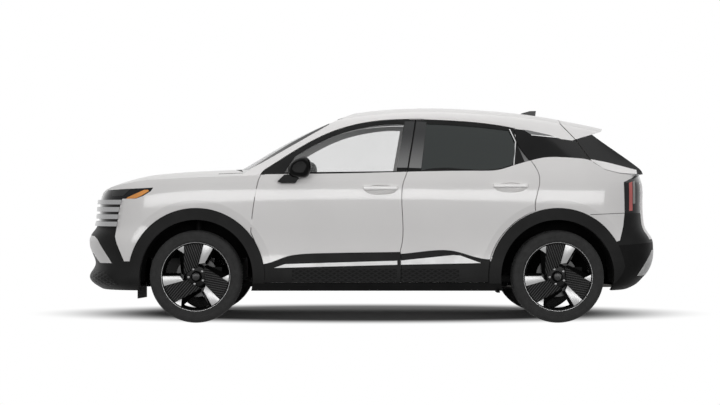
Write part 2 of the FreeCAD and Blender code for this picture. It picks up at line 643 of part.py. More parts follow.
# Fenders and cowl.
behindDoor = box(along(0.45), tail + size.overrun, -farSide, farSide, 0, 2 * size.roofHeight)
cowlInner = out(0.86)
cowlZone = box(along(0.060), cowlX, -cowlInner, cowlInner, 0, 2 * size.roofHeight)
fenderStrip = box(along(-0.90), cowlX, -farSide, -out(0.50), up(0.80), size.roofHeight)
fenderTop = bonnetLayer.common(fenderStrip).cut(bonnetHole).cut(cowlZone).cut(frontDoorHole).cut(lampZone)
fenderTop = fenderTop.cut(grilleZone)
fenderSide = fixedWall.cut([noseZone, lampZone, behindDoor, grilleZone])
sillTop = size.doorBase - size.panelGap
sillZone = box(along(0.10), along(0.90), -farSide, farSide, 0, sillTop)
fenders = fenderSide.cut(sillZone).common(leftSide).fuse(fenderTop)


# Hinge leaves in the shut line, a running gap from the door's edge.
def hingeLeaves(outline, depth, x0, x1, y0, y1, levels):
    sleeve = sidePrism(outline, size.seat + depth, shearShare).cut(sidePrism(outline, size.seat, shearShare))
    leaves = []
    for level in levels:
        leaves.append(sleeve.common(box(x0, x1, -y1, -y0, up(level) - size.hingeHeight / 2,
                                        up(level) + size.hingeHeight / 2)))
    return leaves


frontLeaves = hingeLeaves(frontDoor, size.panelGap + size.seamGap, along(0.12), along(0.20), size.halfWidth -
                          size.wallDepth + size.seamGap, size.halfWidth - 3 * size.seamGap, (0.66, 0.86))
keepPair("front_fenders", joined([fenders] + frontLeaves), 100)
keep("cowl", bonnetLayer.cut(bonnetHole).common(cowlZone))
rearFlap = box(along(0.832), along(0.840), -out(0.960), -out(0.740), up(0.200), up(lowerRowShares[0][0]))
keep("sill_claddings", joined(solidsOf(fixedWall.common(sillZone)) + [rearFlap, mirrored(rearFlap)]))

# Tail.
rearWall = fixedWall.common(behindDoor).cut(sillZone)
keep("tail_lamps", rearWall.common(tailLampZone))
rearBumper = rearWall.common(bumperZone).cut(tailLampZone)
skidZone = region(side([(1.4, 0), (1.985, 0.455), (2.5, 0.455), (2.5, 0), (1.4, 0)][:4])).common(
    Part.makeCompound([box(rearAxle, tail + size.overrun, -out(0.60), out(0.60), up(0.285), up(0.455))]))
keep("rear_bumper", rearBumper.cut(skidZone))
keep("rear_skid_plate", rearBumper.common(skidZone))
quarterWall = rearWall.cut([bumperZone, tailLampZone])

# Cabin frame, roof and quarter trims.
screenOpening = frontPrism([[(-out(0.80), up(1.035)), (out(0.80), up(1.035))], [(out(0.80), up(1.035)),
                            (out(0.62), up(1.800))], [(out(0.62), up(1.800)), (-out(0.62), up(1.800))],
                            [(-out(0.62), up(1.800)), (-out(0.80), up(1.035))]], nose, along(0.46))
gateOpening = frontPrism([[(-out(0.64), up(1.13)), (out(0.64), up(1.13))], [(out(0.64), up(1.13)),
                          (out(0.56), up(1.50))], [(out(0.56), up(1.50)), (-out(0.56), up(1.50))],
                          [(-out(0.56), up(1.50)), (-out(0.64), up(1.13))]], along(1.15), tail + size.overrun)
screen = cabinSkin.common(slopedSheet(screenShares, 1, screenSlope, size.glassInset,
                                      size.glassInset + size.glassDepth)).common(screenOpening).common(topCut)
keep("windscreen", screen)
frameWall = cabinWall.cut([screenOpening, gateHole] + doorHoles)
roofZone = box(along(0.365), along(1.064) - size.panelGap, -out(0.62), out(0.62), up(1.80), 2 * size.roofHeight)
gateHinges = []
for y in (-out(0.40), out(0.40)):
    gateHinges.append(box(along(1.064) - size.panelGap - size.seamGap, along(1.064) - size.seat,
                          y - size.hingeHeight / 2, y + size.hingeHeight / 2,
                          up(1.735), up(1.735) + size.roofDepth / 2))
quarterCut = trimLayer.common(region(quarterRegion)).common(frameWall)
keep("quarter_trims", quarterCut)
upperFrame = frameWall.cut([roofZone, region(quarterRegion).common(trimLayer)])
rocker = box(along(0.12), along(0.88), -size.rockerOuter, -size.rockerInner, up(0.212), up(0.36))
rocker = rocker.fuse([box(along(0.12), along(0.79), -farSide, -size.rockerInner, up(0.212), sillTop),
                      box(along(0.79), along(0.88), -farSide, -size.rockerInner, up(0.212),
                          sillTop - size.panelGap)]).common(hollow)
tubRadius = size.archRadius + size.linerWall
rocker = rocker.cut([Part.makeCylinder(tubRadius, farSide, Vector(axle, -farSide, axleHeight), Vector(0, 1, 0))
                     for axle in (frontAxle, rearAxle)])
# Middle post: upright to the belt line, then leaning back with the shut line.
postX = pillarFoot[0] - shearShare * (size.halfWidth - size.rockerOuter) - size.panelGap
postTop = out(0.656)
postLean = 0.215
postRing = [(size.rockerOuter - size.clearance, up(0.90)), (postTop, up(1.755)), (postTop, up(1.84)),
            (postTop - size.postDepth, up(1.84)), (size.rockerInner, up(0.90))]
upperPost = Part.Face(Part.makePolygon([Vector(postX + postLean * (z - up(0.90)), -y, z)
                                        for y, z in postRing + postRing[:1]]))
lowerPost = Part.Face(Part.makePolygon([Vector(postX, -y, z) for y, z in (
    (size.rockerOuter, up(0.30)), (size.rockerOuter - size.clearance, up(0.92)), (size.rockerInner, up(0.92)),
    (size.rockerInner, up(0.30)), (size.rockerOuter, up(0.30)))]))
post = joined([face.extrude(Vector(size.postLength, 0, 0)) for face in (lowerPost, upperPost)])
rearLeaves = hingeLeaves(rearDoor, size.leafDepth, postX - size.postDepth, pillarFoot[0] + size.panelGap,
                         size.rockerOuter - 3 * size.clearance, size.halfWidth - size.wallDepth + size.postDepth / 2,
                         (0.45, 0.80))
post = joined([post] + rearLeaves)
keep("roof_panel", frameWall.common(roofZone).cut(gateHinges + [post, mirrored(post)]))
sideFrame = joined([quarterWall, upperFrame, rocker, mirrored(rocker), post, mirrored(post)] + gateHinges)
keep("side_frames", sideFrame, 100)

# Liftgate.
spoiler = cabinSkin.common(region(spoilerRegion)).cut(cabinHollow)
gateUpper = cabinWall.common(gate).cut(gateOpening)
gateTrim = trimLayer.common(gateUpper).cut(region(spoilerRegion))
gateLower = wall.common(gate)
gateShell = joined([spoiler, gateUpper.cut(gateTrim), gateLower])
backlight = cabinSkin.common(slopedSheet(backlightShares, -0.6, backlightSlope, size.glassInset,
                                         size.glassInset + size.glassDepth)).common(gateOpening).common(topCut)
keep("liftgate", gateShell, 100)
keep("liftgate_trim", gateTrim)
keep("liftgate_glass", backlight)

# Floor, bulkhead and undertray.
tubs = []
for axle in (frontAxle, rearAxle):
    for y in (-farSide, size.wellDepth - size.linerWall):
        tubs.append(Part.makeCylinder(tubRadius, farSide - size.wellDepth + size.linerWall,
                                      Vector(axle, y, axleHeight), Vector(0, 1, 0)))
floorLow = up(0.225)
bulkheadX = along(0.115)
kickX = along(0.86)
loadTop = up(0.385)
sideLimit = size.rockerInner
floor = box(bulkheadX, kickX, -sideLimit, sideLimit, floorLow, floorLow + size.floorDepth)
bulkhead = box(bulkheadX - size.floorDepth, bulkheadX, -farSide, farSide, floorLow, size.beltHeight)
bulkhead = bulkhead.cut(bonnetFace(size.bonnetDepth + size.clearance).extrude(high))
underBonnet = bonnetFace(size.bonnetDepth + size.seat).extrude(high)
bonnetHinges = [box(bulkheadX - size.floorDepth, bulkheadX, y - size.hingeHeight / 2, y + size.hingeHeight / 2,
                    up(0.90), size.beltHeight).cut(underBonnet) for y in (-out(0.60), out(0.60))]
kick = box(kickX, kickX + size.floorDepth, -sideLimit, sideLimit, floorLow, loadTop)
loadFloor = box(kickX, tail - size.overrun / 2, -farSide, farSide, loadTop - size.floorDepth, loadTop)
tray = box(nose, bulkheadX, -farSide, farSide, floorLow, floorLow + size.claddingDepth)
floorPan = joined([floor, bulkhead, kick, loadFloor, tray] + bonnetHinges).common(hollow).cut(tubs)
keep("floor_pan", floorPan)

# Wheel-arch liners.
liners = []
for axle in (frontAxle, rearAxle):
    tub = Part.makeCylinder(tubRadius, farSide, Vector(axle, -farSide, axleHeight), Vector(0, 1, 0))
    bore = Part.makeCylinder(size.archRadius, farSide, Vector(axle, -farSide, axleHeight), Vector(0, 1, 0))
    reach = box(axle - tubRadius, axle + tubRadius, -farSide, -size.wellDepth, archFoot, size.roofHeight)
    shellPart = tub.cut(bore).common(reach)
    apron = tub.common(box(axle - tubRadius, axle + tubRadius, -size.wellDepth, -size.wellDepth + size.linerWall,
                           up(0.42), size.roofHeight))
    liners.append(shellPart.fuse(apron).common(hollow))
liners = keepPair("wheel_liners", Part.makeCompound(liners).cut(sideFrame))


# Wheels: a tyre, and a three-bladed alloy with its disc.
tyreHalf = size.tyreWidth / 2
wallRise = size.tyreRadius - size.beadRadius
tyreProfile = [(-size.beadWidth / 2, size.beadRadius), (-size.beadWidth / 2, size.rimLip),
               (-tyreHalf, size.rimLip + 0.28 * wallRise), (-tyreHalf, size.beadRadius + 0.58 * wallRise),
               (-0.90 * tyreHalf, size.beadRadius + 0.90 * wallRise), (-0.74 * tyreHalf, size.tyreRadius)]
tyreProfile += [(-y, r) for y, r in reversed(tyreProfile)]


def revolved(profile, centre):
    points = [centre + Vector(0, y, r) for y, r in profile]
    face = Part.Face(Part.makePolygon(points + points[:1]))
    return face.revolve(centre, Vector(0, 1, 0), 360)


# Pinwheel face: blade, web and window angles repeat three times round the wheel.
windowShares = [(6, 0.94), (33, 0.94), (58, 0.94), (50, 0.42), (2, 0.74)]
barrelInner = size.beadRadius - size.barrelWall


def polar(angle, share, y):
    return Vector(share * barrelInner * math.cos(math.radians(angle)), y,
                  share * barrelInner * math.sin(math.radians(angle)))


def alloy(centre, outward):
    outerFace = size.beadWidth / 2 - size.spokeInset
    profile = [(-size.beadWidth / 2, barrelInner), (size.beadWidth / 2 + size.flangeDepth, barrelInner),
               (size.beadWidth / 2 + size.flangeDepth, size.rimLip), (size.beadWidth / 2, size.rimLip),
               (size.beadWidth / 2, size.beadRadius), (-size.beadWidth / 2, size.beadRadius),
               (-size.beadWidth / 2, size.rimLip), (-size.beadWidth / 2 - size.flangeDepth, size.rimLip),
               (-size.beadWidth / 2 - size.flangeDepth, barrelInner)]
    barrel = revolved([(outward * y, r) for y, r in profile], Vector(0, 0, 0))
    plate = Part.makeCylinder(barrelInner, size.spokeDepth, Vector(0, outward * (outerFace - size.spokeDepth), 0),
                              Vector(0, outward, 0))
    dish = Part.makeCone(size.hubRadius, 0.80 * barrelInner, size.spokeInset,
                         Vector(0, outward * (outerFace - size.spokeInset), 0), Vector(0, outward, 0))
    plate = plate.cut(dish)
    windows = []
    for turn in range(3):
        ring = [polar(angle + 120 * turn, share, -size.overrun) for angle, share in windowShares]
        windows.append(Part.Face(Part.makePolygon(ring + ring[:1])).extrude(Vector(0, 2 * size.overrun, 0)))
    cap = Part.makeCylinder(size.capRadius, size.capDepth, Vector(0, outward * (outerFace - size.spokeInset), 0),
                            Vector(0, outward, 0))
    alloyShape = joined([barrel, plate.cut(windows), cap])
    hubFace = outerFace - size.spokeDepth
    discFace = hubFace - size.discInset
    disc = Part.makeCylinder(size.discRadius, size.discDepth, Vector(0, outward * (discFace - size.discDepth), 0),
                             Vector(0, outward, 0))
    hat = Part.makeCylinder(size.hatRadius, size.discInset, Vector(0, outward * discFace, 0), Vector(0, outward, 0))
    bore = Part.makeCylinder(size.capRadius + size.clearance + size.seat, size.overrun,
                             Vector(0, outward * (discFace - size.discDepth - size.clearance), 0),
                             Vector(0, outward, 0)).common(
        Part.makeCylinder(size.hubRadius, size.overrun, Vector(0, outward * -size.overrun, 0) +
                          Vector(0, outward * (hubFace - size.seat), 0), Vector(0, outward, 0)))
    disc = disc.fuse(hat).cut(bore)
    both = Part.makeCompound([alloyShape, disc])
    both.translate(centre)
    return both


tyre = revolved(tyreProfile, Vector(0, 0, 0))
for end, axle in (("front", frontAxle), ("rear", rearAxle)):
    for label, outward in (("left", -1), ("right", 1)):
        centre = Vector(axle, outward * faceY, axleHeight)
        keep("tyre_%s_%s" % (end, label), tyre.translated(centre))
        keep("rim_%s_%s" % (end, label), alloy(centre, outward))

# Hubs, knuckles and callipers.
stubRadius = size.capRadius + size.clearance
spokeBack = faceY + size.beadWidth / 2 - size.spokeInset - size.spokeDepth
discOut = spokeBack - size.discInset
discIn = discOut - size.discDepth
carrierOut = discIn - size.clearance
carrierIn = carrierOut - size.postDepth
carrierHalf = size.hubRadius - size.clearance


def hubCarrier(axle):
    stub = Part.makeCylinder(stubRadius, spokeBack - size.seat - carrierIn, Vector(axle, -carrierIn, axleHeight),
                             Vector(0, -1, 0))
    plate = Part.makeCylinder(carrierHalf, size.postDepth, Vector(axle, -carrierIn, axleHeight), Vector(0, -1, 0))
    x0 = axle + 0.66 * size.discRadius
    x1 = axle + 1.22 * size.discRadius
    z0, z1 = axleHeight - 0.45 * size.discRadius, axleHeight + 0.45 * size.discRadius
    calliper = box(x0, x1, -discOut - 3 * size.clearance, -carrierIn, z0, z1)
    slot = Part.makeCylinder(size.discRadius + size.clearance, size.discDepth + 2 * size.clearance,
                             Vector(axle, -discIn + size.clearance, axleHeight), Vector(0, -1, 0))
    bridge = box(axle, x1, -carrierOut, -carrierIn, axleHeight - stubRadius, axleHeight + stubRadius)
    return joined([stub, plate, calliper.cut(slot), bridge])


# The steering axis runs from the ball joint to the strut's top mount.
ball = Vector(frontAxle, -(faceY - size.ballInset), axleHeight - size.hubRadius - 2 * size.clearance)
strutTop = Vector(frontAxle, -(faceY - size.strutInset), axleHeight + size.archRadius)
kingpin = (strutTop - ball).normalize()
strutFoot = axleHeight + 1.2 * size.hubRadius
strutHead = axleHeight + 1.7 * size.hubRadius
strutLength = (strutTop.z - strutFoot) / kingpin.z
frontHub = hubCarrier(frontAxle)
upright = box(frontAxle - stubRadius, frontAxle + stubRadius, -carrierOut, -carrierIn, axleHeight, strutHead)
clamp = box(frontAxle - stubRadius, frontAxle + stubRadius, -carrierOut, -(faceY - size.strutInset) - size.postDepth,
            strutFoot, strutHead)
strut = Part.makeCylinder(size.strutRadius, strutLength - 2 * size.clearance,
                          ball + kingpin * ((strutFoot - ball.z) / kingpin.z), kingpin)
stud = Part.makeCylinder(size.ballRadius, size.postDepth, ball, kingpin)
knuckle = joined([frontHub, upright, clamp, strut, stud])
keep("knuckle_left", knuckle)
keep("knuckle_right", mirrored(knuckle))

# Front subframe with its arms.
frameInner = size.wellDepth - size.postDepth
crossLow = floorLow + size.claddingDepth
cross = box(frontAxle - 2 * size.postDepth, frontAxle + 2 * size.postDepth, -frameInner, frameInner,
            crossLow, crossLow + size.postDepth)
armRing = [(frameInner - size.clearance, crossLow + size.clearance), (frameInner - size.clearance, crossLow +
           size.postDepth), (faceY - size.ballInset, ball.z - 2 * size.clearance),
           (faceY - size.ballInset, ball.z - size.clearance - size.ballRadius)]
arm = Part.Face(Part.makePolygon([Vector(frontAxle - stubRadius, -y, z) for y, z in armRing + armRing[:1]]))
arm = arm.extrude(Vector(2 * stubRadius, 0, 0))
socket = Part.makeCylinder(size.ballRadius + size.clearance, size.ballRadius + size.clearance,
                           ball - kingpin * size.seat, kingpin * -1)
keep("front_subframe", joined([cross, arm, mirrored(arm), socket, mirrored(socket)]).cut(floorPan))

# Twist-beam rear axle, its trailing arms just inboard of the tyres.
rearHub = hubCarrier(rearAxle)
trailOut = faceY - size.tyreWidth / 2 - 3 * size.clearance
trailIn = trailOut - size.postDepth
link = Part.makeCylinder(stubRadius, carrierIn - trailIn, Vector(rearAxle, -carrierIn, axleHeight), Vector(0, 1, 0))
beam = box(rearAxle - size.postLength - size.postDepth, rearAxle - size.postLength, -trailOut, trailOut,
           axleHeight - size.postDepth, axleHeight)
trail = box(rearAxle - size.archRadius, rearAxle + stubRadius, -trailOut, -trailIn, axleHeight - size.postDepth,
            axleHeight)
trail = trail.common(Part.makeCylinder(size.archRadius - size.seat, farSide, Vector(rearAxle, -farSide, axleHeight),
                                       Vector(0, 1, 0)))
keep("rear_axle", joined([rearHub, mirrored(rearHub), link, mirrored(link), beam, trail, mirrored(trail)]))

# Engine block, over the subframe.
engineHalf = 0.62 * frameInner
engine = box(along(-0.44), along(0.02), -engineHalf, engineHalf, crossLow + size.postDepth, up(0.74))
keep("engine_block", engine)

# Exhaust with its silencer.
pipeY = out(0.16)
pipeZ = floorLow - size.pipeRadius - size.seat
pipe = Part.makeCylinder(size.pipeRadius, along(1.12) - along(0.14), Vector(along(0.14), pipeY, pipeZ),
                         Vector(1, 0, 0))
silencer = box(along(1.12), along(1.55), pipeY - size.pipeRadius, out(0.48), pipeZ - size.pipeRadius,
               pipeZ + 5 * size.pipeRadius)
outlet = Part.makeCylinder(size.pipeRadius, along(1.80) - along(1.55), Vector(along(1.55), out(0.42), pipeZ),
                           Vector(1, 0, 0))
keep("exhaust", joined([pipe, silencer, outlet]).cut([floorPan, rearBumper]))

# Cabin furniture.
seatHalf = out(0.27)
seatY = out(0.40)
dashSide = size.rockerInner - size.clearance
dashPoints = [(bulkheadX, up(0.62)), (bulkheadX, up(0.955)), (along(0.20), up(0.955)),
              (along(0.285), up(0.93)), (along(0.315), up(0.87)), (along(0.300), up(0.62))]
dash = Part.Face(Part.makePolygon([Vector(x, -dashSide, z) for x, z in dashPoints + dashPoints[:1]]))
dash = dash.extrude(Vector(0, 2 * dashSide, 0)).common(hollow).cut([floorPan, bonnetSheet])

# Steering wheel, on a column that leaves the dashboard towards the driver.
columnTilt = 25
columnAxis = Vector(math.cos(math.radians(columnTilt)), 0, math.sin(math.radians(columnTilt)))
columnEnd = Vector(along(0.3615), -seatY, up(0.815))
column = Part.makeCylinder(size.columnRadius, size.overrun / 2, columnEnd - columnAxis * size.seat,
                           columnAxis * -1)
keep("dashboard", joined([dash, column]))
hub = Part.makeCylinder(size.wheelHub, size.wheelDish)
spokes = []
for angle in (0, 180, 270):
    spoke = Part.makeBox(size.wheelRadius, 2 * size.wheelGrip, size.wheelGrip,
                         Vector(0, -size.wheelGrip, size.wheelDish - size.wheelGrip))
    spoke.rotate(Vector(0, 0, 0), Vector(0, 0, 1), angle)
    spokes.append(spoke)
grip = Part.makeTorus(size.wheelRadius, size.wheelGrip, Vector(0, 0, size.wheelDish))
steering = joined([hub, grip] + spokes)
steering.Placement = FreeCAD.Placement(columnEnd, FreeCAD.Rotation(Vector(0, 1, 0), Vector(0, 0, 1), columnAxis, "ZYX"))
keep("steering_wheel", steering)
keep("roof_fin", Part.Face(Part.makePolygon([Vector(along(x), -size.claddingDepth, up(z)) for x, z in (
    (0.915, 1.860), (0.926, 1.915), (0.950, 1.950), (0.9685, 1.953), (0.966, 1.840), (0.915, 1.860))])).extrude(
    Vector(0, 2 * size.claddingDepth, 0)).cut(cabinSkin))


def seatShape(x, halfWide, y, hasHead):
    base = up(0.30)
    cushion = box(x - size.overrun * 1.2, x, y - halfWide, y + halfWide, base, base + size.postLength * 1.3)
    backPoints = [(x - size.postLength, base), (x + size.postLength * 0.4, base),
                  (x + size.postLength * 2.6, up(0.88)), (x + size.postLength * 1.5, up(0.90))]
    back = Part.Face(Part.makePolygon([Vector(a, y - halfWide, b) for a, b in backPoints + backPoints[:1]]))
    back = back.extrude(Vector(0, 2 * halfWide, 0))
    parts = [cushion, back]
    plinth = box(x - size.overrun, x - size.postLength, y - 0.8 * halfWide, y + 0.8 * halfWide,
                 floorLow + size.floorDepth, base)
    parts.append(plinth)
    if hasHead:
        head = box(x + size.postLength * 1.65, x + size.postLength * 2.6, y - 0.45 * halfWide, y + 0.45 * halfWide,
                   up(0.88), up(0.995))
        parts.append(head)
    return joined(parts)


frontSeat = seatShape(along(0.515), seatHalf, -seatY, True)
keep("front_seats", Part.makeCompound([frontSeat, mirrored(frontSeat)]))
benchX = along(0.82)
keep("rear_seat", seatShape(benchX, out(0.68), 0, False).cut([floorPan, liners]))

doc.recompute()
for thing in doc.Objects:
    if "Invalid" in thing.State or "Error" in thing.State:
        raise RuntimeError("%s failed" % thing.Name)
for feature in nodes:
    if feature.Shape.isNull() or not feature.Shape.isValid():
        raise RuntimeError("%s has no sound shape" % feature.Label)
for feature in nodes:
    print(feature.Label, len(feature.Shape.Solids), "solids", round(feature.Shape.Volume / 1e6, 2), "dm3")
    feature.Shape.exportStep("parts/%s.step" % feature.Label)
print("ball joint", ball, "steering axis", kingpin)
print("steering wheel", columnEnd, columnAxis)
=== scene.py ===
import bpy
import bmesh
import json
import math
from mathutils import Matrix, Vector
from mathutils.bvhtree import BVHTree

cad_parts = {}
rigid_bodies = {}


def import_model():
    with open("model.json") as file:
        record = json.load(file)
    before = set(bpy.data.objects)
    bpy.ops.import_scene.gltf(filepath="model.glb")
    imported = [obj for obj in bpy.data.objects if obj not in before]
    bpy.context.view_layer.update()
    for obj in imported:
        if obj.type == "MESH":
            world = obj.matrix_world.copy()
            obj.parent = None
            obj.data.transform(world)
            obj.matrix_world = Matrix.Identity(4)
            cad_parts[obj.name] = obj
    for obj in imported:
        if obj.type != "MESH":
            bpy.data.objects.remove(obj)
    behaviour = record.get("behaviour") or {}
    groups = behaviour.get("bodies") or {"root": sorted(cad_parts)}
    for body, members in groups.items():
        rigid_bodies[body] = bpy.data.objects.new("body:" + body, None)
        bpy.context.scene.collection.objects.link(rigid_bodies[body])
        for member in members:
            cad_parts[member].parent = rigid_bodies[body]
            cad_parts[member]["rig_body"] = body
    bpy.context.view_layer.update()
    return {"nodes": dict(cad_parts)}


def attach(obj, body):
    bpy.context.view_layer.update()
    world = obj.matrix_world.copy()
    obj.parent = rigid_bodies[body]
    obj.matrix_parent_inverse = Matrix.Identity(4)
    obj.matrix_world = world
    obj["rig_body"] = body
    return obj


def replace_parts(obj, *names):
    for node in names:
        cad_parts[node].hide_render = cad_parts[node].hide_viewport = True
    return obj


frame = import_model()
nodes = frame["nodes"]
sides = (("left", -1), ("right", 1))
print("frame loaded:", len(nodes), "nodes")


# shader maths: a wire is a socket that takes + - * / and <
class Wire:
    def __init__(self, tree, socket):
        self.tree = tree
        self.socket = socket

    def maths(self, operation, *others, first=None):
        made = self.tree.nodes.new("ShaderNodeMath")
        made.operation = operation
        for slot, value in enumerate((self if first is None else first,) + others):
            plug(self.tree, made.inputs[slot], value)
        return Wire(self.tree, made.outputs[0])

    def __add__(self, other):
        return self.maths("ADD", other)
    __radd__ = __add__

    def __mul__(self, other):
        return self.maths("MULTIPLY", other)
    __rmul__ = __mul__

    def __sub__(self, other):
        return self.maths("SUBTRACT", other)

    def __rsub__(self, other):
        return self.maths("SUBTRACT", self, first=other)

    def __truediv__(self, other):
        return self.maths("DIVIDE", other)

    def __lt__(self, other):
        return self.maths("LESS_THAN", other)

    def ramp(self, low, high):                        # 0 below low, 1 above high, smooth between
        made = self.tree.nodes.new("ShaderNodeMapRange")
        made.interpolation_type = "SMOOTHSTEP"
        plug(self.tree, made.inputs["Value"], self)
        made.inputs["From Min"].default_value = low
        made.inputs["From Max"].default_value = high
        return Wire(self.tree, made.outputs[0])

    def ridges(self, pitch):                          # 1 on each line, 0 half way to the next
        return (self / pitch).maths("FRACT").maths("SUBTRACT", 0.5).maths("ABSOLUTE") * 2


def plug(tree, socket, value):
    if isinstance(value, Wire):
        tree.links.new(value.socket, socket)
    else:
        socket.default_value = value


class Finish:
    def __init__(self, name, base, rough, metal=0.0, coat=0.0, coatRough=0.03, specular=0.5):
        self.material = bpy.data.materials.new(name)
        self.material.use_nodes = True
        self.tree = self.material.node_tree
        self.tree.nodes.clear()
        self.out = self.tree.nodes.new("ShaderNodeOutputMaterial")
        self.shader = self.tree.nodes.new("ShaderNodeBsdfPrincipled")
        self.tree.links.new(self.shader.outputs[0], self.out.inputs[0])
        self.set("Base Color", (*base, 1))
        self.set("Roughness", rough)
        self.set("Metallic", metal)
        self.set("Coat Weight", coat)
        self.set("Coat Roughness", coatRough)
        self.set("Specular IOR Level", specular)
        self.place = self.node("ShaderNodeTexCoord", out="Object")

    def set(self, name, value):
        plug(self.tree, self.shader.inputs[name], value)

    def node(self, kind, settings=None, out=0, **inputs):
        made = self.tree.nodes.new(kind)
        for key, value in (settings or {}).items():
            setattr(made, key, value)
        for key, value in inputs.items():
            plug(self.tree, made.inputs[key], value)
        return Wire(self.tree, made.outputs[out])

    def axes(self, vector=None):                      # the three coordinates, metres
        parts = self.tree.nodes.new("ShaderNodeSeparateXYZ")
        self.tree.links.new((vector or self.place).socket, parts.inputs[0])
        return [Wire(self.tree, parts.outputs[i]) for i in range(3)]

    def noise(self, scale, detail=3.0, stretch=None):
        place = self.place
        if stretch:
            place = self.node("ShaderNodeMapping", Vector=self.place, Scale=stretch)
        return self.node("ShaderNodeTexNoise", Vector=place, Scale=scale, Detail=detail, Roughness=0.5)

    def blend(self, mask, first, second):             # colours
        made = self.tree.nodes.new("ShaderNodeMix")
        made.data_type = "RGBA"
        plug(self.tree, made.inputs[0], mask)
        for slot, colour in ((6, first), (7, second)):
            plug(self.tree, made.inputs[slot], colour if isinstance(colour, Wire) else (*colour, 1))
        return Wire(self.tree, made.outputs[2])

    def bump(self, height, strength, distance):
        self.set("Normal", self.node("ShaderNodeBump", Height=height, Strength=strength, Distance=distance))


# body paint: a coat that fades at the edges, a soft bulge round each wheel arch, and its inner lip painted black as
# painted shade
paintLook = {
    "base": (0.79, 0.777, 0.770), "shade": (0.775, 0.762, 0.756),
    "rough": 0.34, "roughSpread": 0.08, "coatRough": 0.09, "specular": 0.3,
    "coatFade": 0.9, "fadeFrom": 0.45, "fadeTo": 0.97,                # how the coat fades at grazing angles
    "cloudScale": 3.0, "smudgeScale": 40.0, "peelScale": 900.0, "peelHeight": 0.000004,
    "axles": (-1.291, 1.367), "axleHeight": 0.340,
    "bulgeIn": 0.44, "bulgeOut": 0.562, "bulgeSlope": -0.17,       # radii round the axle
    # inside the lip radius the white paint is coloured black: painted shade inside each arch
    "shadedLip": 0.452, "lipShadeColour": (0.003, 0.003, 0.003), "shadedLipRough": 0.4,
}


def paintFinish(look):
    paint = Finish("whitePaint", look["base"], look["rough"], coatRough=look["coatRough"], specular=look["specular"])
    cloud = paint.noise(look["cloudScale"], 2.0)
    grazing = paint.node("ShaderNodeLayerWeight", out="Facing", Blend=0.5)
    x, y, z = paint.axes()
    bulge, shadedLip = 0.0, 0.0
    for axle in look["axles"]:
        across, up = x - axle, z - look["axleHeight"]
        reach = (across * across + up * up).maths("SQRT")
        inward = (look["bulgeOut"] - reach).maths("MAXIMUM", 0.0)
        bulge = inward.maths("MINIMUM", look["bulgeOut"] - look["bulgeIn"]) + bulge
        # painted shade: the mask for the black inner lip of each arch
        shadedLip = (reach < look["shadedLip"]) + shadedLip
    skin = paint.blend(cloud.ramp(0.35, 0.65), look["base"], look["shade"])
    paint.set("Base Color", paint.blend(shadedLip, skin, look["lipShadeColour"]))
    smudges = paint.noise(look["smudgeScale"]) * look["roughSpread"]
    paint.set("Roughness", smudges + shadedLip * look["shadedLipRough"] + look["rough"] - look["roughSpread"] / 2)
    fade = grazing.ramp(look["fadeFrom"], look["fadeTo"]) * look["coatFade"]
    paint.set("Coat Weight", (1 - fade) * (1 - shadedLip))
    peel = paint.noise(look["peelScale"], 2.0) * look["peelHeight"]
    paint.bump(bulge * look["bulgeSlope"] + peel, 1.0, 1.0)
    return paint


plasticLook = {"patchScale": 6.0, "lighter": 1.35, "lift": 0.003, "roughSpread": 0.16,
               "leatherShare": 0.6, "leatherHeight": 0.0004}
glossLook = {"patchScale": 2.0, "lighter": 1.5, "lift": 0.004, "smudgeScale": 25.0, "roughSpread": 0.05}
metalLook = {"darker": 0.86, "roughSpread": 0.15, "roughLow": 0.07}
glassLook = {"rough": 0.02, "dustScale": 5.0, "dustAlpha": 0.04, "dustRough": 0.02}
clothLook = {"rough": 0.9, "threads": 220.0, "wander": 1.5, "lighter": 1.6, "threadHeight": 0.001}


def lighter(base, look):
    return tuple(min(1.0, channel * look["lighter"] + look["lift"]) for channel in base)


def plasticFinish(name, base, rough, grain=1400.0, depth=0.25, specular=0.18):
    look = plasticLook
    plastic = Finish(name, base, rough, specular=specular)
    patches = plastic.noise(look["patchScale"]).ramp(0.35, 0.7)
    plastic.set("Base Color", plastic.blend(patches, base, lighter(base, look)))
    speck = plastic.noise(grain, 2.0) * look["roughSpread"]
    plastic.set("Roughness", speck + rough - look["roughSpread"] / 2)
    leather = plastic.node("ShaderNodeTexVoronoi", Vector=plastic.place, Scale=grain * look["leatherShare"])
    plastic.bump(leather, depth, look["leatherHeight"])
    return plastic


def glossFinish(name, base, rough=0.08, coat=0.0, specular=0.5):
    look = glossLook
    gloss = Finish(name, base, rough, coat=coat, specular=specular)
    patches = gloss.noise(look["patchScale"]).ramp(0.3, 0.7)
    gloss.set("Base Color", gloss.blend(patches, base, lighter(base, look)))
    gloss.set("Roughness", gloss.noise(look["smudgeScale"]) * look["roughSpread"] + rough)
    return gloss


def metalFinish(name, base, rough, grain=(30.0, 30.0, 30.0), scale=60.0, metal=1.0):
    look = metalLook
    made = Finish(name, base, rough, metal=metal)
    streak = made.noise(scale, 4.0, stretch=grain)
    made.set("Base Color", made.blend(streak, tuple(channel * look["darker"] for channel in base), base))
    made.set("Roughness", streak * look["roughSpread"] + rough - look["roughLow"])
    return made


def glassFinish(name, tint, alpha):
    look = glassLook
    glass = Finish(name, tint, look["rough"])
    dust = glass.noise(look["dustScale"])
    glass.set("Alpha", dust * look["dustAlpha"] + alpha - look["dustAlpha"] / 2)
    glass.set("Roughness", dust * look["dustRough"] + look["rough"])
    return glass


def clothFinish(name, base):
    look = clothLook
    cloth = Finish(name, base, look["rough"])
    weave = cloth.node("ShaderNodeTexWave", {"wave_type": "BANDS", "bands_direction": "DIAGONAL"},
                       Vector=cloth.place, Scale=look["threads"], Distortion=look["wander"])
    cloth.set("Base Color", cloth.blend(weave, base, tuple(channel * look["lighter"] for channel in base)))
    cloth.bump(weave, 0.4, look["threadHeight"])
    return cloth


def grey(value):
    return (value, value, value)


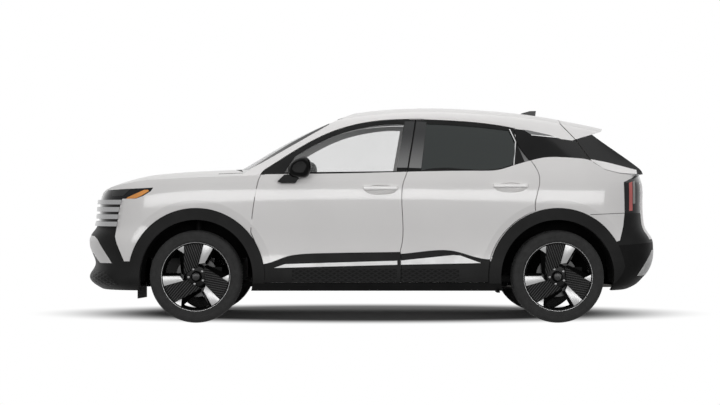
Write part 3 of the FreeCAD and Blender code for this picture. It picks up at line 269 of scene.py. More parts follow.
# painted, moulded and cast surfaces, in the order: name, colour, roughness
paint = paintFinish(paintLook)
blackPlastic = plasticFinish("blackPlastic", grey(0.006), 0.5, specular=0.11)
sillPlastic = plasticFinish("sillPlastic", grey(0.002), 0.6, specular=0.08)
linerPlastic = plasticFinish("linerPlastic", grey(0.002), 0.8, specular=0.05)
silverPlastic = plasticFinish("silverPlastic", grey(0.52), 0.38, depth=0.1)
underseal = plasticFinish("underseal", grey(0.008), 0.8, grain=400.0, depth=0.5, specular=0.08)
castings = plasticFinish("castings", grey(0.005), 0.6, grain=500.0, depth=0.5, specular=0.06)
cabinPlastic = plasticFinish("cabinPlastic", grey(0.03), 0.7)
glossBlack = glossFinish("glossBlack", (0.002, 0.002, 0.0022), specular=0.16)
mirrorGloss = glossFinish("mirrorGloss", grey(0.001), 0.14, specular=0.05)
smokedLens = glossFinish("smokedLens", (0.008, 0.008, 0.009), 0.05, specular=0.16)
slatMetal = metalFinish("slatMetal", (0.34, 0.34, 0.345), 0.22)
blockAlloy = metalFinish("blockAlloy", grey(0.045), 0.5)
dullSteel = metalFinish("dullSteel", (0.16, 0.155, 0.15), 0.4)
seatCloth = clothFinish("seatCloth", (0.03, 0.03, 0.032))
windowGlass = glassFinish("windowGlass", (0.45, 0.46, 0.46), 0.11)       # the last number is the alpha
screenGlass = glassFinish("screenGlass", (0.22, 0.235, 0.24), 0.55)
darkGlass = glassFinish("darkGlass", (0.012, 0.018, 0.017), 0.93)
print("finishes ready")


def bodyOf(node):
    return nodes[node]["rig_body"]


def toMesh(work, name, sharpAngle):                   # smooth shading with sharp edges, degrees
    for face in work.faces:
        face.smooth = True
    for edge in work.edges:
        if len(edge.link_faces) != 2 or edge.calc_face_angle(0) > math.radians(sharpAngle):
            edge.smooth = False
    mesh = bpy.data.meshes.new(name)
    work.to_mesh(mesh)
    work.free()
    return mesh


def addPiece(mesh, name, body, finish):
    piece = bpy.data.objects.new(name, mesh)
    bpy.context.scene.collection.objects.link(piece)
    piece.data.materials.clear()
    piece.data.materials.append(finish.material)
    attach(piece, body)
    return piece


def nodeMesh(node, weld=0.00002):
    work = bmesh.new()
    work.from_mesh(nodes[node].data)
    bmesh.ops.remove_doubles(work, verts=work.verts, dist=weld)
    return work


# CAD nodes: smooth copies of the panels, plain finishes on what lies under them
def smoothPanel(node, finish, wanted=None, label="Skin", sharpAngle=32.0):
    work = nodeMesh(node)
    if wanted:
        spare = [face for face in work.faces if not wanted(face.calc_center_median())]
        bmesh.ops.delete(work, geom=spare, context="FACES")
    mesh = toMesh(work, node + label, sharpAngle)
    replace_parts(addPiece(mesh, node + label, bodyOf(node), finish), node)


mirrorZone = {"outside": 0.85, "low": 0.95, "high": 1.27, "front": -0.82, "rear": -0.38}


def onMirror(place):                                  # the mirror and its foot stand outside the door skin
    return (abs(place.y) > mirrorZone["outside"] and mirrorZone["low"] < place.z < mirrorZone["high"]
            and mirrorZone["front"] < place.x < mirrorZone["rear"])


panelFinishes = (
    (paint, ("bonnet", "front_bumper", "front_fenders", "roof_panel", "side_frames", "liftgate",
             "front_door_left", "front_door_right", "rear_door_left", "rear_door_right")),
    (blackPlastic, ("arch_claddings", "rear_bumper", "front_bumper_lower", "cowl",
                    "rear_door_trim_left", "rear_door_trim_right")),
    (sillPlastic, ("sill_claddings",)),
    (glossBlack, ("grille", "quarter_trims", "liftgate_trim", "roof_fin")),
    (slatMetal, ("grille_slats",)),
    (smokedLens, ("headlamps", "tail_lamps")),
    (silverPlastic, ("rear_skid_plate",)),
    (screenGlass, ("windscreen",)),
    (windowGlass, ("front_door_glass_left", "front_door_glass_right")),
    (darkGlass, ("liftgate_glass", "rear_door_glass_left", "rear_door_glass_right")),
)
for finish, names in panelFinishes:
    for node in names:
        smoothPanel(node, finish)
for node in ("front_door_trim_left", "front_door_trim_right"):
    smoothPanel(node, blackPlastic, wanted=lambda place: not onMirror(place))
    smoothPanel(node, mirrorGloss, wanted=onMirror, label="Mirror")

plainFinishes = {
    "floor_pan": underseal, "wheel_liners": linerPlastic, "front_subframe": castings, "rear_axle": castings,
    "knuckle_left": castings, "knuckle_right": castings, "engine_block": blockAlloy, "exhaust": dullSteel,
    "dashboard": cabinPlastic, "steering_wheel": cabinPlastic, "front_seats": seatCloth, "rear_seat": seatCloth,
}
for node, finish in plainFinishes.items():
    nodes[node].data.materials.clear()
    nodes[node].data.materials.append(finish.material)
print("panels dressed")


# wheels: every mesh is made once round the origin, then copied to the four hubs
wheelPlaces = {"front_left": (-1.291, -1), "front_right": (-1.291, 1),
               "rear_left": (1.367, -1), "rear_right": (1.367, 1)}
hubHeight, wheelOut = 0.340, 0.775


def addSpun(work, profile, steps=120):                # turns a closed profile of (outward, radius) round the hub
    chain = [work.verts.new((0, -y, r)) for y, r in profile]
    edges = [work.edges.new(pair) for pair in zip(chain, chain[1:] + chain[:1])]
    bmesh.ops.spin(work, geom=chain + edges, cent=(0, 0, 0), axis=(0, 1, 0), angle=2 * math.pi,
                   steps=steps, use_merge=True)
    bmesh.ops.remove_doubles(work, verts=work.verts, dist=0.00001)


tyreLook = {
    "dark": grey(0.016), "light": grey(0.024), "rough": 0.62, "roughSpread": 0.15, "specular": 0.22,
    "patchScale": 30.0, "dustScale": 120.0, "grainScale": 700.0, "grainHeight": 0.0005,
    "steps": 216, "sharpAngle": 35,
    # half of the section as (across, radius): bead, side wall, shoulder, then tread with two grooves
    "halfProfile": [(0.0995, 0.2475), (0.1055, 0.252), (0.1085, 0.258), (0.1100, 0.263), (0.1119, 0.266),
                    (0.1121, 0.270), (0.1112, 0.273), (0.1116, 0.279), (0.1122, 0.287), (0.1118, 0.2880),
                    (0.1118, 0.2895), (0.1122, 0.2905), (0.1119, 0.299), (0.1110, 0.307), (0.1098, 0.3135),
                    (0.1085, 0.3185), (0.1065, 0.3230), (0.1022, 0.3290), (0.0955, 0.3345), (0.0860, 0.3378),
                    (0.0700, 0.3390), (0.0560, 0.3395), (0.0545, 0.3330), (0.0490, 0.3330), (0.0475, 0.3397),
                    (0.0200, 0.3399), (0.0185, 0.3333), (0.0125, 0.3333), (0.0110, 0.3400)],
    # cross cuts in the tread blocks: every fourth step, the middle rows two steps later
    "blockRadius": 0.3375, "blockEdge": 0.0870, "middleRows": 0.04, "cutEvery": 4, "cutLag": 2,
    "cutWall": 0.0012, "cutDepth": 0.0055,
}


def tyreFinish(look):
    rubber = Finish("tyreRubber", look["dark"], look["rough"], specular=look["specular"])
    patches = rubber.noise(look["patchScale"]).ramp(0.3, 0.7)
    rubber.set("Base Color", rubber.blend(patches, look["dark"], look["light"]))
    rubber.set("Roughness", rubber.noise(look["dustScale"]) * look["roughSpread"] + look["rough"])
    rubber.bump(rubber.noise(look["grainScale"]), 0.2, look["grainHeight"])
    return rubber


def tyreMesh(look):
    half = look["halfProfile"]
    work = bmesh.new()
    addSpun(work, [(-y, r) for y, r in half] + list(reversed(half)), look["steps"])
    bmesh.ops.recalc_face_normals(work, faces=work.faces)
    cuts = []
    for face in work.faces:
        middle = face.calc_center_median()
        row = abs(middle.y)
        turn = round(math.atan2(middle.z, middle.x) / (2 * math.pi) * look["steps"] - 0.5)
        lag = look["cutLag"] if row < look["middleRows"] else 0
        onBlock = math.hypot(middle.x, middle.z) > look["blockRadius"] and row < look["blockEdge"]
        if onBlock and (turn + lag) % look["cutEvery"] == 0:
            cuts.append(face)
    bmesh.ops.inset_individual(work, faces=cuts, thickness=look["cutWall"], depth=-look["cutDepth"],
                               use_even_offset=True)
    return toMesh(work, "tyreBase", look["sharpAngle"])


rubber = tyreFinish(tyreLook)
baseTyre = tyreMesh(tyreLook)
for place, (x, sign) in wheelPlaces.items():
    mesh = baseTyre.copy()
    mesh.transform(Matrix.Translation((x, sign * wheelOut, hubHeight)))
    tyre = addPiece(mesh, "tyreTread_" + place, place + "_wheel", rubber)
    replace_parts(tyre, "tyre_" + place)
print("tyres made")


# alloy wheels: three long machined blades, ribbed spokes and open windows, a third of a turn apart
wheelLook = {
    "rim": 0.258, "back": 0.022, "faceEdge": 0.0012, "darkEdge": 0.0008, "darkDrop": 0.004,
    "bladeBack": 0.072, "toothBack": 0.086,
    # facets as (angle in degrees, share of the rim's radius, depth outward)
    "blade": [(76.3, 0.978, 0.096), (67.6, 0.978, 0.097), (59.0, 0.978, 0.096), (57.4, 0.462, 0.082),
              (77.6, 0.375, 0.079)],
    "tooth": [(124.6, 0.978, 0.096), (117.0, 0.978, 0.096), (110.2, 0.978, 0.096), (117.3, 0.745, 0.087)],
    "spokeFace": [(110.2, 0.970, 0.092), (98.0, 0.970, 0.092), (87.0, 0.970, 0.092), (76.3, 0.970, 0.092),
                  (77.6, 0.375, 0.074), (117.3, 0.745, 0.084)],
    "spokeFoot": [(117.3, 0.745, 0.084), (77.6, 0.375, 0.074), (84.0, 0.250, 0.045), (119.0, 0.245, 0.036),
                  (150.0, 0.290, 0.036), (174.5, 0.360, 0.050)],
    "spokeSlope": [(124.6, 0.962, 0.080), (117.3, 0.745, 0.084), (174.5, 0.360, 0.060),
                   (166.5, 0.453, 0.036), (122.8, 0.925, 0.052)],
    "bladeSlope": [(59.0, 0.970, 0.092), (55.0, 0.970, 0.070), (53.7, 0.880, 0.050), (47.9, 0.452, 0.040),
                   (57.4, 0.462, 0.080)],
    # spun profiles as (outward, radius)
    "flange": [(0.1020, 0.2500), (0.1056, 0.2508), (0.1060, 0.2560), (0.1045, 0.2582), (0.1020, 0.2582)],
    "barrel": [(-0.099, 0.2435), (-0.1045, 0.2475), (-0.1055, 0.2575), (-0.1005, 0.2575), (-0.0985, 0.2450),
               (-0.040, 0.2390), (0.090, 0.2390), (0.0985, 0.2450), (0.1005, 0.2575), (0.1035, 0.2575),
               (0.1050, 0.2560), (0.1045, 0.2510), (0.1000, 0.2495), (0.0930, 0.2440), (0.0780, 0.2400),
               (0.0600, 0.2340), (-0.030, 0.2320), (-0.090, 0.2380)],
    "hub": [(0.022, 0.001), (0.078, 0.001), (0.082, 0.024), (0.080, 0.030), (0.050, 0.036), (0.036, 0.041),
            (0.034, 0.074), (0.040, 0.084), (0.030, 0.095), (0.022, 0.095)],
    "disc": [(0.000, 0.070), (0.000, 0.088), (-0.003, 0.092), (-0.003, 0.1515), (-0.004, 0.1525),
             (-0.0100, 0.1525), (-0.0105, 0.1480), (-0.0145, 0.1480), (-0.0150, 0.1525), (-0.0230, 0.1525),
             (-0.0240, 0.1515), (-0.0240, 0.070)],
    "hat": [(-0.004, 0.030), (-0.004, 0.084), (0.0165, 0.083), (0.0195, 0.080), (0.0195, 0.030)],
    # the cap's profile as (drop behind its face, share of its radius)
    "capRadius": 0.0275, "capFace": 0.086,
    "cap": [(0.006, 0.0), (0.0, 0.0), (0.0, 0.6), (0.0006, 0.72), (-0.0002, 0.80), (0.0006, 0.95),
            (0.003, 1.0), (0.008, 1.0), (0.008, 0.0)],
    "nuts": 5, "nutCircle": 0.057, "nutStart": 41.0, "nutRadius": 0.0112, "nutTaper": 0.96,
    "nutTop": 0.056, "nutFoot": 0.034, "nutEdge": 0.0016,
}


def addFacets(work, corners, back, soft):             # one outline, three times round, with a flat back
    for third in range(3):
        ring = []
        for angle, share, depth in corners:
            turn, radius = math.radians(angle + 120 * third), share * wheelLook["rim"]
            ring.append(work.verts.new((radius * math.cos(turn), -depth, radius * math.sin(turn))))
        top = work.faces.new(ring)
        pushed = bmesh.ops.extrude_face_region(work, geom=[top], use_keep_orig=True)
        for part in pushed["geom"]:
            if isinstance(part, bmesh.types.BMVert):
                part.co.y = -back
        bmesh.ops.bevel(work, geom=top.edges[:], offset=soft, segments=2, profile=0.5, affect="EDGES",
                        clamp_overlap=True, material=-1)


def addNut(work, look, index):
    turn = math.radians(look["nutStart"] + 360 / look["nuts"] * index)
    place = Matrix.Translation((look["nutCircle"] * math.cos(turn), -(look["nutTop"] + look["nutFoot"]) / 2,
                                look["nutCircle"] * math.sin(turn)))
    made = bmesh.ops.create_cone(work, cap_ends=True, segments=6, radius1=look["nutRadius"],
                                 radius2=look["nutRadius"] * look["nutTaper"],
                                 depth=look["nutTop"] - look["nutFoot"],
                                 matrix=place @ Matrix.Rotation(math.pi / 2, 4, "X"))
    edges = list({edge for vert in made["verts"] for edge in vert.link_edges})
    bmesh.ops.bevel(work, geom=edges, offset=look["nutEdge"], segments=2, profile=0.5, affect="EDGES",
                    material=-1)


def wheelMeshes(look):
    works = {name: bmesh.new() for name in ("wheelMachined", "wheelDark", "wheelRibbed", "wheelNuts",
                                            "wheelCap", "brakeDisc")}
    addFacets(works["wheelMachined"], look["blade"], look["bladeBack"], look["faceEdge"])
    addFacets(works["wheelMachined"], look["tooth"], look["toothBack"], look["faceEdge"])
    addSpun(works["wheelMachined"], look["flange"])
    dark = works["wheelDark"]
    for part in ("spokeSlope", "bladeSlope"):
        addFacets(dark, look[part], look["back"], look["darkEdge"])
    for part in ("blade", "tooth"):                   # the dark body under each machined face
        lower = [(angle, share, depth - look["darkDrop"]) for angle, share, depth in look[part]]
        addFacets(dark, lower, look["back"], look["darkEdge"])
    addSpun(dark, look["barrel"])
    addSpun(dark, look["hub"], 72)
    for part in ("spokeFace", "spokeFoot"):
        addFacets(works["wheelRibbed"], look[part], look["back"], look["darkEdge"])
    for index in range(look["nuts"]):
        addNut(works["wheelNuts"], look, index)
    addSpun(works["wheelCap"], [(look["capFace"] - drop, max(share * look["capRadius"], 0.001))
                                for drop, share in look["cap"]], 60)
    addSpun(works["brakeDisc"], look["disc"])
    addSpun(works["brakeDisc"], look["hat"], 90)
    meshes = {}
    for name, work in works.items():
        bmesh.ops.recalc_face_normals(work, faces=work.faces)
        meshes[name] = toMesh(work, name, 45 if name == "wheelNuts" else 30)
    return meshes


ribLook = {"base": grey(0.002), "rib": grey(0.075), "rough": 0.28, "roughSpread": 0.15, "specular": 0.10,
           "pitch": 0.0165, "height": 0.004, "secondShare": 0.55,
           "first": 20, "second": -50, "start": 30}   # directions of the two sets, and where a third begins


def ribbedFinish(look):
    dark = Finish("ribbedAlloy", look["base"], look["rough"], specular=look["specular"])
    across, down = dark.axes(dark.node("ShaderNodeUVMap", {"uv_map": "panel"}))[:2]
    peak = across.ridges(look["pitch"]).maths("MAXIMUM", down.ridges(look["pitch"]) * look["secondShare"])
    dark.set("Base Color", dark.blend(peak.ramp(0.45, 0.95), look["base"], look["rib"]))
    dark.set("Roughness", peak * look["roughSpread"] + look["rough"])
    dark.bump(peak, 0.9, look["height"])
    return dark


def mapRibs(mesh, look):                              # own UV: each third of the wheel gets the same directions
    layer = mesh.uv_layers.new(name="panel")
    directions = [(math.cos(math.radians(angle)), math.sin(math.radians(angle)))
                  for angle in (look["first"], look["second"])]
    for face in mesh.polygons:
        turn = math.degrees(math.atan2(face.center.z, face.center.x)) % 360
        back = -math.radians(120 * (((turn - look["start"]) % 360) // 120))
        for loop in face.loop_indices:
            place = mesh.vertices[mesh.loops[loop].vertex_index].co
            x = place.x * math.cos(back) - place.z * math.sin(back)
            z = place.x * math.sin(back) + place.z * math.cos(back)
            layer.data[loop].uv = [x * alongX + z * alongZ for alongX, alongZ in directions]


wheelFinishes = {
    "wheelMachined": metalFinish("machinedAlloy", grey(0.37), 0.30, grain=(1.0, 1.0, 40.0), scale=90.0, metal=0.65),
    "wheelDark": glossFinish("darkAlloy", grey(0.002), 0.25, specular=0.10),
    "wheelRibbed": ribbedFinish(ribLook),
    "wheelNuts": metalFinish("nutChrome", grey(0.13), 0.22),
    "wheelCap": glossFinish("capPlastic", grey(0.012), 0.2, specular=0.3),
    "brakeDisc": metalFinish("discSteel", grey(0.045), 0.35, grain=(4.0, 40.0, 4.0)),
}
baseWheel = wheelMeshes(wheelLook)
mapRibs(baseWheel["wheelRibbed"], ribLook)
for place, (x, sign) in wheelPlaces.items():
    for name, base in baseWheel.items():
        mesh = base.copy()
        if sign > 0:                                  # mirrored for the right side
            mesh.transform(Matrix.Scale(-1, 4, (0, 1, 0)))
            mesh.flip_normals()
        mesh.transform(Matrix.Translation((x, sign * wheelOut, hubHeight)))
        piece = addPiece(mesh, name + "_" + place, place + "_wheel", wheelFinishes[name])
        if name == "wheelDark":
            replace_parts(piece, "rim_" + place)
print("wheels made")


# fitted parts: strips, lenses and covers cut from the skin that they lie on
sideView = {"metresPerPixel": 0.00733, "distance": 14.0, "camera": 14.885,
            "middle": (360, 202.5), "across": -0.086, "up": 0.8846}


def spot(px, py, depth):                              # the place behind a pixel of the side view, depth is y
    view = sideView
    scale = view["metresPerPixel"] * (view["camera"] + depth) / view["distance"]
    return (px - view["middle"][0]) * scale + view["across"], view["up"] - (py - view["middle"][1]) * scale


def pushOut(verts, distance):
    for vert in verts:
        vert.normal_update()
    for vert, normal in [(vert, vert.normal.copy()) for vert in verts]:
        vert.co += normal * distance


def keepInside(work, place, normal):                  # drops what lies beyond the plane
    bmesh.ops.bisect_plane(work, geom=work.verts[:] + work.edges[:] + work.faces[:], dist=0.000001,
                           plane_co=place, plane_no=normal, clear_outer=True)


def patch(name, side, node, outline, finish, slot, depth, facing, lift, thick=0.0012, inner=0.2):
    # the skin facing outwards, cut to the outline, lifted and thickened; inner is the nearest y to the middle
    work = nodeMesh(node)
    keepInside(work, (0, inner * side, 0), (0, -side, 0))
    away = [face for face in work.faces if face.normal.y * side < facing]
    bmesh.ops.delete(work, geom=away, context="FACES")
    ring = [spot(px, py, depth) for px, py in outline]
    if sum(a[0] * b[1] - b[0] * a[1] for a, b in zip(ring, ring[1:] + ring[:1])) < 0:
        ring.reverse()
    for (ax, az), (bx, bz) in zip(ring, ring[1:] + ring[:1]):
        keepInside(work, (ax, 0, az), Vector((bz - az, 0, ax - bx)).normalized())
    pushOut(work.verts, lift)
    pushed = bmesh.ops.extrude_face_region(work, geom=work.faces[:], use_keep_orig=True)
    pushOut([part for part in pushed["geom"] if isinstance(part, bmesh.types.BMVert)], thick)
    bmesh.ops.recalc_face_normals(work, faces=work.faces)
    addPiece(toMesh(work, name, 35), name, bodyOf(node), finish)


pillarLook = {"rough": 0.16, "specular": 0.35}


def glossWithPaintedReflection(name, dark, light, top, foot):       # gloss black with a painted reflection: the base colour grows lighter towards the belt
    pillar = glossFinish(name, dark, pillarLook["rough"], specular=pillarLook["specular"])
    x, y, z = pillar.axes()
    pillar.set("Base Color", pillar.blend(z.ramp(foot, top), light, dark))
    return pillar


diamondLook = {"base": grey(0.002), "light": grey(0.012), "rough": 0.5, "specular": 0.12,
               "pitch": 0.055, "steep": 1.8, "height": 0.006}


def diamondFinish(look):
    diamonds = Finish("diamondPlastic", look["base"], look["rough"], specular=look["specular"])
    x, y, z = diamonds.axes()
    rise, fall = x + z * look["steep"], x - z * look["steep"]
    facet = rise.ridges(look["pitch"]).maths("MINIMUM", fall.ridges(look["pitch"]))
    diamonds.set("Base Color", diamonds.blend(facet.ramp(0.1, 0.8), look["light"], look["base"]))
    diamonds.bump(facet, 1.0, look["height"])
    return diamonds


brightTrim = metalFinish("brightTrim", grey(0.62), 0.22)
sillSilver = plasticFinish("sillSilver", (0.80, 0.795, 0.79), 0.30, grain=900.0, depth=0.05, specular=0.5)
# one black for the shut lines and for the painted shade in the rear door gap
seamAndShadeBlack = plasticFinish("seamAndShadeBlack", grey(0.003), 0.6, specular=0.1)
diamondPlastic = diamondFinish(diamondLook)
# pillar covers, pillar panels and the windscreen edge carry this painted reflection, lighter low down
pillarGloss = glossWithPaintedReflection("pillarGloss", (0.030, 0.031, 0.032), grey(0.22), 1.42, 1.08)
accentGrey = glossWithPaintedReflection("accentGrey", (0.060, 0.061, 0.062), grey(0.20), 1.40, 1.12)
accentPale = glossFinish("accentPale", (0.15, 0.152, 0.154), 0.2, specular=0.4)
amberLens = glossFinish("amberLens", (0.72, 0.26, 0.035), 0.10, coat=0.3)
redLens = glossFinish("redLens", (0.42, 0.055, 0.05), 0.10, coat=0.3)
greyLens = glossFinish("greyLens", (0.16, 0.155, 0.155), 0.12, coat=0.3)
lampBlack = glossFinish("lampBlack", grey(0.006), 0.1)
lampUnit = glossFinish("lampUnit", grey(0.028), 0.3, specular=0.2)

# outlines are convex and in side-view pixels; a door's node gets its side's name at the end
fittings = {
    "sideStrip_front": dict(
        node="front_door_trim", finish=sillSilver, slot="silver_plastic", depth=-0.880, facing=0.05,
        lift=0.0004, thick=0.0028,
        outline=[(273.9, 267.9), (284.8, 264.1), (397.3, 260.7), (397.3, 264.7), (285.9, 267.6)]),
    "sideStrip_rear": dict(
        node="rear_door_trim", finish=sillSilver, slot="silver_plastic", depth=-0.880, facing=0.05,
        lift=0.0004, thick=0.0028,
        outline=[(398.9, 260.7), (453.5, 255.0), (460.4, 255.5), (481.0, 263.0), (398.9, 264.7)]),
    "pillarCover_front": dict(
        node="front_door_trim", finish=pillarGloss, slot="gloss_black", depth=-0.75, facing=0.1, lift=0.0003,
        outline=[(405.2, 120.9), (416.0, 120.9), (407.3, 167.8), (396.2, 167.8)]),
    "pillarCover_rear": dict(
        node="rear_door_trim", finish=pillarGloss, slot="gloss_black", depth=-0.75, facing=0.1, lift=0.0003,
        outline=[(416.9, 120.9), (427.0, 121.6), (420.9, 168.3), (408.6, 168.0)]),
    "turnLens": dict(
        node="headlamps", finish=amberLens, slot="lamp_glass", depth=-0.80, facing=0.1, lift=0.0002, thick=0.0016,
        outline=[(124.6, 198.6), (127.8, 197.2), (135.8, 190.6), (148.4, 189.7), (149.6, 191.0), (142.5, 195.3),
                 (136.6, 198.2), (128.0, 198.9)]),
    "lampInner": dict(
        node="headlamps", finish=lampUnit, slot="lamp_glass", depth=-0.74, facing=0.02, lift=0.0002,
        outline=[(111.5, 190.8), (126.0, 188.2), (131.0, 189.0), (124.0, 195.6), (111.0, 196.6)]),
    "redStrip": dict(
        node="tail_lamps", finish=redLens, slot="tail_lens", depth=-0.72, facing=0.02, lift=0.0002, thick=0.0016,
        outline=[(628.0, 183.0), (631.6, 181.6), (631.6, 210.7), (628.0, 210.7)]),
    "greyStrip": dict(
        node="tail_lamps", finish=greyLens, slot="tail_lens", depth=-0.70, facing=0.02, lift=0.0002, thick=0.0016,
        outline=[(631.9, 181.6), (634.4, 180.6), (634.4, 203.5), (631.9, 203.5)]),
    "lampCap": dict(
        node="tail_lamps", finish=lampBlack, slot="lamp_glass", depth=-0.66, facing=-0.2, lift=0.0003,
        outline=[(622.0, 183.0), (640.0, 170.0), (648.0, 170.0), (648.0, 182.0)]),
    "lampCapBody": dict(
        node="side_frames", finish=lampBlack, slot="lamp_glass", depth=-0.66, facing=0.0, lift=0.0003,
        outline=[(624.3, 181.8), (638.5, 173.2), (645.8, 173.2), (645.8, 183.0)]),
    "lampCapGate": dict(
        node="liftgate", finish=lampBlack, slot="lamp_glass", depth=-0.66, facing=0.0, lift=0.0003,
        outline=[(624.3, 181.8), (638.5, 173.2), (645.8, 173.2), (645.8, 183.0)]),
    "frontClad": dict(
        node="front_door_trim", finish=diamondPlastic, slot="black_plastic", depth=-0.88, facing=0.1, lift=0.0003,
        outline=[(292, 269.0), (396.9, 269.0), (396.9, 282.4), (292, 282.4)]),
    "rearClad": dict(
        node="rear_door_trim", finish=diamondPlastic, slot="black_plastic", depth=-0.88, facing=0.1, lift=0.0003,
        outline=[(399.0, 269.0), (459, 269.0), (459, 282.4), (399.0, 282.4)]),
    "lipBand": dict(
        node="front_bumper_lower", finish=diamondPlastic, slot="black_plastic", depth=-0.70, facing=0.0,
        lift=0.0003, outline=[(86, 271.5), (104, 271.5), (120, 284.5), (104, 286.0), (86, 280.5)]),
    "quarterAccent": dict(
        node="quarter_trims", finish=accentPale, slot="gloss_black", depth=-0.66, facing=0.05, lift=0.0002,
        outline=[(521.4, 128.3), (532.6, 128.8), (556.5, 133.7), (565.6, 137.9), (531.2, 134.7)]),
    "quarterEdge": dict(
        node="quarter_trims", finish=brightTrim, slot="silver_plastic", depth=-0.66, facing=0.05, lift=0.0003,
        outline=[(531.0, 134.6), (565.6, 137.8), (565.6, 138.5), (531.0, 135.3)]),
    "pillarPanel": dict(
        node="rear_door_trim", finish=accentGrey, slot="gloss_black", depth=-0.72, facing=0.05, lift=0.0002,
        outline=[(511.4, 128.8), (518.6, 128.8), (531.2, 160.3), (514.4, 165.5), (516.4, 142.1)]),
    "pillarStripTop": dict(
        node="rear_door_trim", finish=brightTrim, slot="silver_plastic", depth=-0.72, facing=0.0, lift=0.0004,
        outline=[(509.6, 128.8), (510.6, 128.8), (516.2, 142.0), (515.4, 142.4)]),
    "pillarStripFoot": dict(
        node="rear_door_trim", finish=brightTrim, slot="silver_plastic", depth=-0.74, facing=0.0, lift=0.0004,
        outline=[(515.3, 142.0), (516.3, 142.0), (513.6, 165.4), (512.7, 165.4)]),
    "frameCover": dict(
        node="side_frames", finish=glossBlack, slot="gloss_black", depth=-0.66, facing=0.02, lift=0.0002,
        outline=[(513.2, 128.6), (519.0, 129.4), (521.5, 140.0), (516.6, 140.0)]),
    "gateCorner": dict(
        node="liftgate_trim", finish=paint, slot="white_paint", depth=-0.70, facing=0.02, lift=0.0003,
        outline=[(589.0, 158.9), (607.7, 162.4), (626.2, 167.1), (637.0, 170.0), (637.0, 174.0), (615.5, 173.0),
                 (603.6, 169.0)]),
    "bumperFoot": dict(
        node="rear_bumper", finish=sillPlastic, slot="black_plastic", depth=-0.80, facing=-0.1, lift=0.0002,
        inner=0.0, outline=[(609.0, 245.8), (660.0, 242.5), (660.0, 290.0), (600.0, 290.0)]),
    "skidSide": dict(
        node="rear_bumper", finish=silverPlastic, slot="silver_plastic", depth=-0.62, facing=-0.1, lift=0.0014,
        inner=0.0, outline=[(634.5, 275.0), (651.8, 250.0), (660.0, 250.0), (660.0, 275.0)]),
    "fenderLine": dict(
        node="front_fenders", finish=seamAndShadeBlack, slot="black_plastic", depth=-0.85, facing=0.1, lift=0.0002,
        outline=[(142.3, 197.0), (142.9, 197.0), (155.5, 211.9), (154.9, 211.9)]),
    # painted shade: a black patch over the white body edge seen in the gap between the rear door trim and the arch
    # cladding
    "doorwayShade": dict(
        node="side_frames", finish=seamAndShadeBlack, slot="black_plastic", depth=-0.86, facing=-0.1, lift=0.0002,
        outline=[(486.0, 261.0), (493.5, 261.0), (491.5, 286.8), (485.5, 286.8)]),
    "screenEdge": dict(
        node="side_frames", finish=accentGrey, slot="gloss_black", depth=-0.66, facing=-0.1, lift=0.0002,
        outline=[(243.0, 169.6), (329.0, 121.0), (329.0, 124.2), (262.0, 163.4), (250.0, 169.6)]),
    "bumperLine": dict(
        node="side_frames", finish=seamAndShadeBlack, slot="black_plastic", depth=-0.84, facing=0.1, lift=0.0002,
        outline=[(590.0, 214.3), (625.7, 212.8), (625.7, 213.3), (590.0, 214.8)]),
}
for label, side in sides:
    for name, settings in fittings.items():
        node = settings["node"]
        if node not in nodes:
            node = "%s_%s" % (node, label)
        patch("%s_%s" % (name, label), side, **{**settings, "node": node})


# pressed shields inboard of the rear wheels
shieldLook = {"place": (1.365, 0.485, 0.475), "length": 0.80, "height": 0.24, "wall": 0.003,
              "fields": (7, 3), "border": 0.012, "press": 0.004}


def shieldMesh(look, side):
    work = bmesh.new()
    bmesh.ops.create_grid(work, x_segments=look["fields"][0], y_segments=look["fields"][1], size=0.5)
    bmesh.ops.inset_individual(work, faces=work.faces[:], thickness=look["border"], depth=-look["press"])
    bmesh.ops.scale(work, vec=(look["length"], look["height"], 1), verts=work.verts)
    bmesh.ops.rotate(work, matrix=Matrix.Rotation(math.pi / 2, 3, "X"), verts=work.verts)
    bmesh.ops.solidify(work, geom=work.faces[:], thickness=look["wall"])
    x, y, z = look["place"]
    bmesh.ops.translate(work, vec=(x, y * side, z), verts=work.verts)
    bmesh.ops.recalc_face_normals(work, faces=work.faces)
    mesh = bpy.data.meshes.new("wheelShield")
    work.to_mesh(mesh)
    work.free()
    return mesh


for label, side in sides:
    addPiece(shieldMesh(shieldLook, side), "wheelShield_" + label, "body", linerPlastic)
print("fitted parts made")


# rear wiper, laid on the glass that it rests on; its places are (y, z), met by rays along x from behind
wiperLook = {
    "behind": 2.6, "pivot": (0.02, 1.235), "start": (0.06, 1.250), "end": (0.36, 1.262), "steps": 7,
    "lift": 0.010, "soft": 0.002, "bladeWide": 0.009, "bladeTall": 0.012,
    "armWide": 0.014, "armTall": 0.008, "armFoot": 0.008, "armHead": 0.010,
    "capRadius": 0.024, "capTall": 0.020, "sharpAngle": 40,
}


def onGlass(tree, behind, y, z):                      # where the ray meets the glass, and its outward normal
    forward = Vector((-1, 0, 0))
    place, normal, index, distance = tree.ray_cast(Vector((behind, y, z)), forward)
    return place, (normal if normal.dot(forward) < 0 else -normal)


def addBar(work, start, end, normal, wide, tall, soft):
    along = (end - start).normalized()
    across = normal.cross(along).normalized()
    turn = Matrix((along, across, along.cross(across).normalized())).transposed().to_4x4()
    made = bmesh.ops.create_cube(work, size=1.0, matrix=Matrix.Translation((start + end) / 2) @ turn
                                 @ Matrix.Diagonal(((end - start).length, wide, tall, 1)))
    edges = list({edge for vert in made["verts"] for edge in vert.link_edges})
    bmesh.ops.bevel(work, geom=edges, offset=soft, segments=2, profile=0.5, affect="EDGES", material=-1)


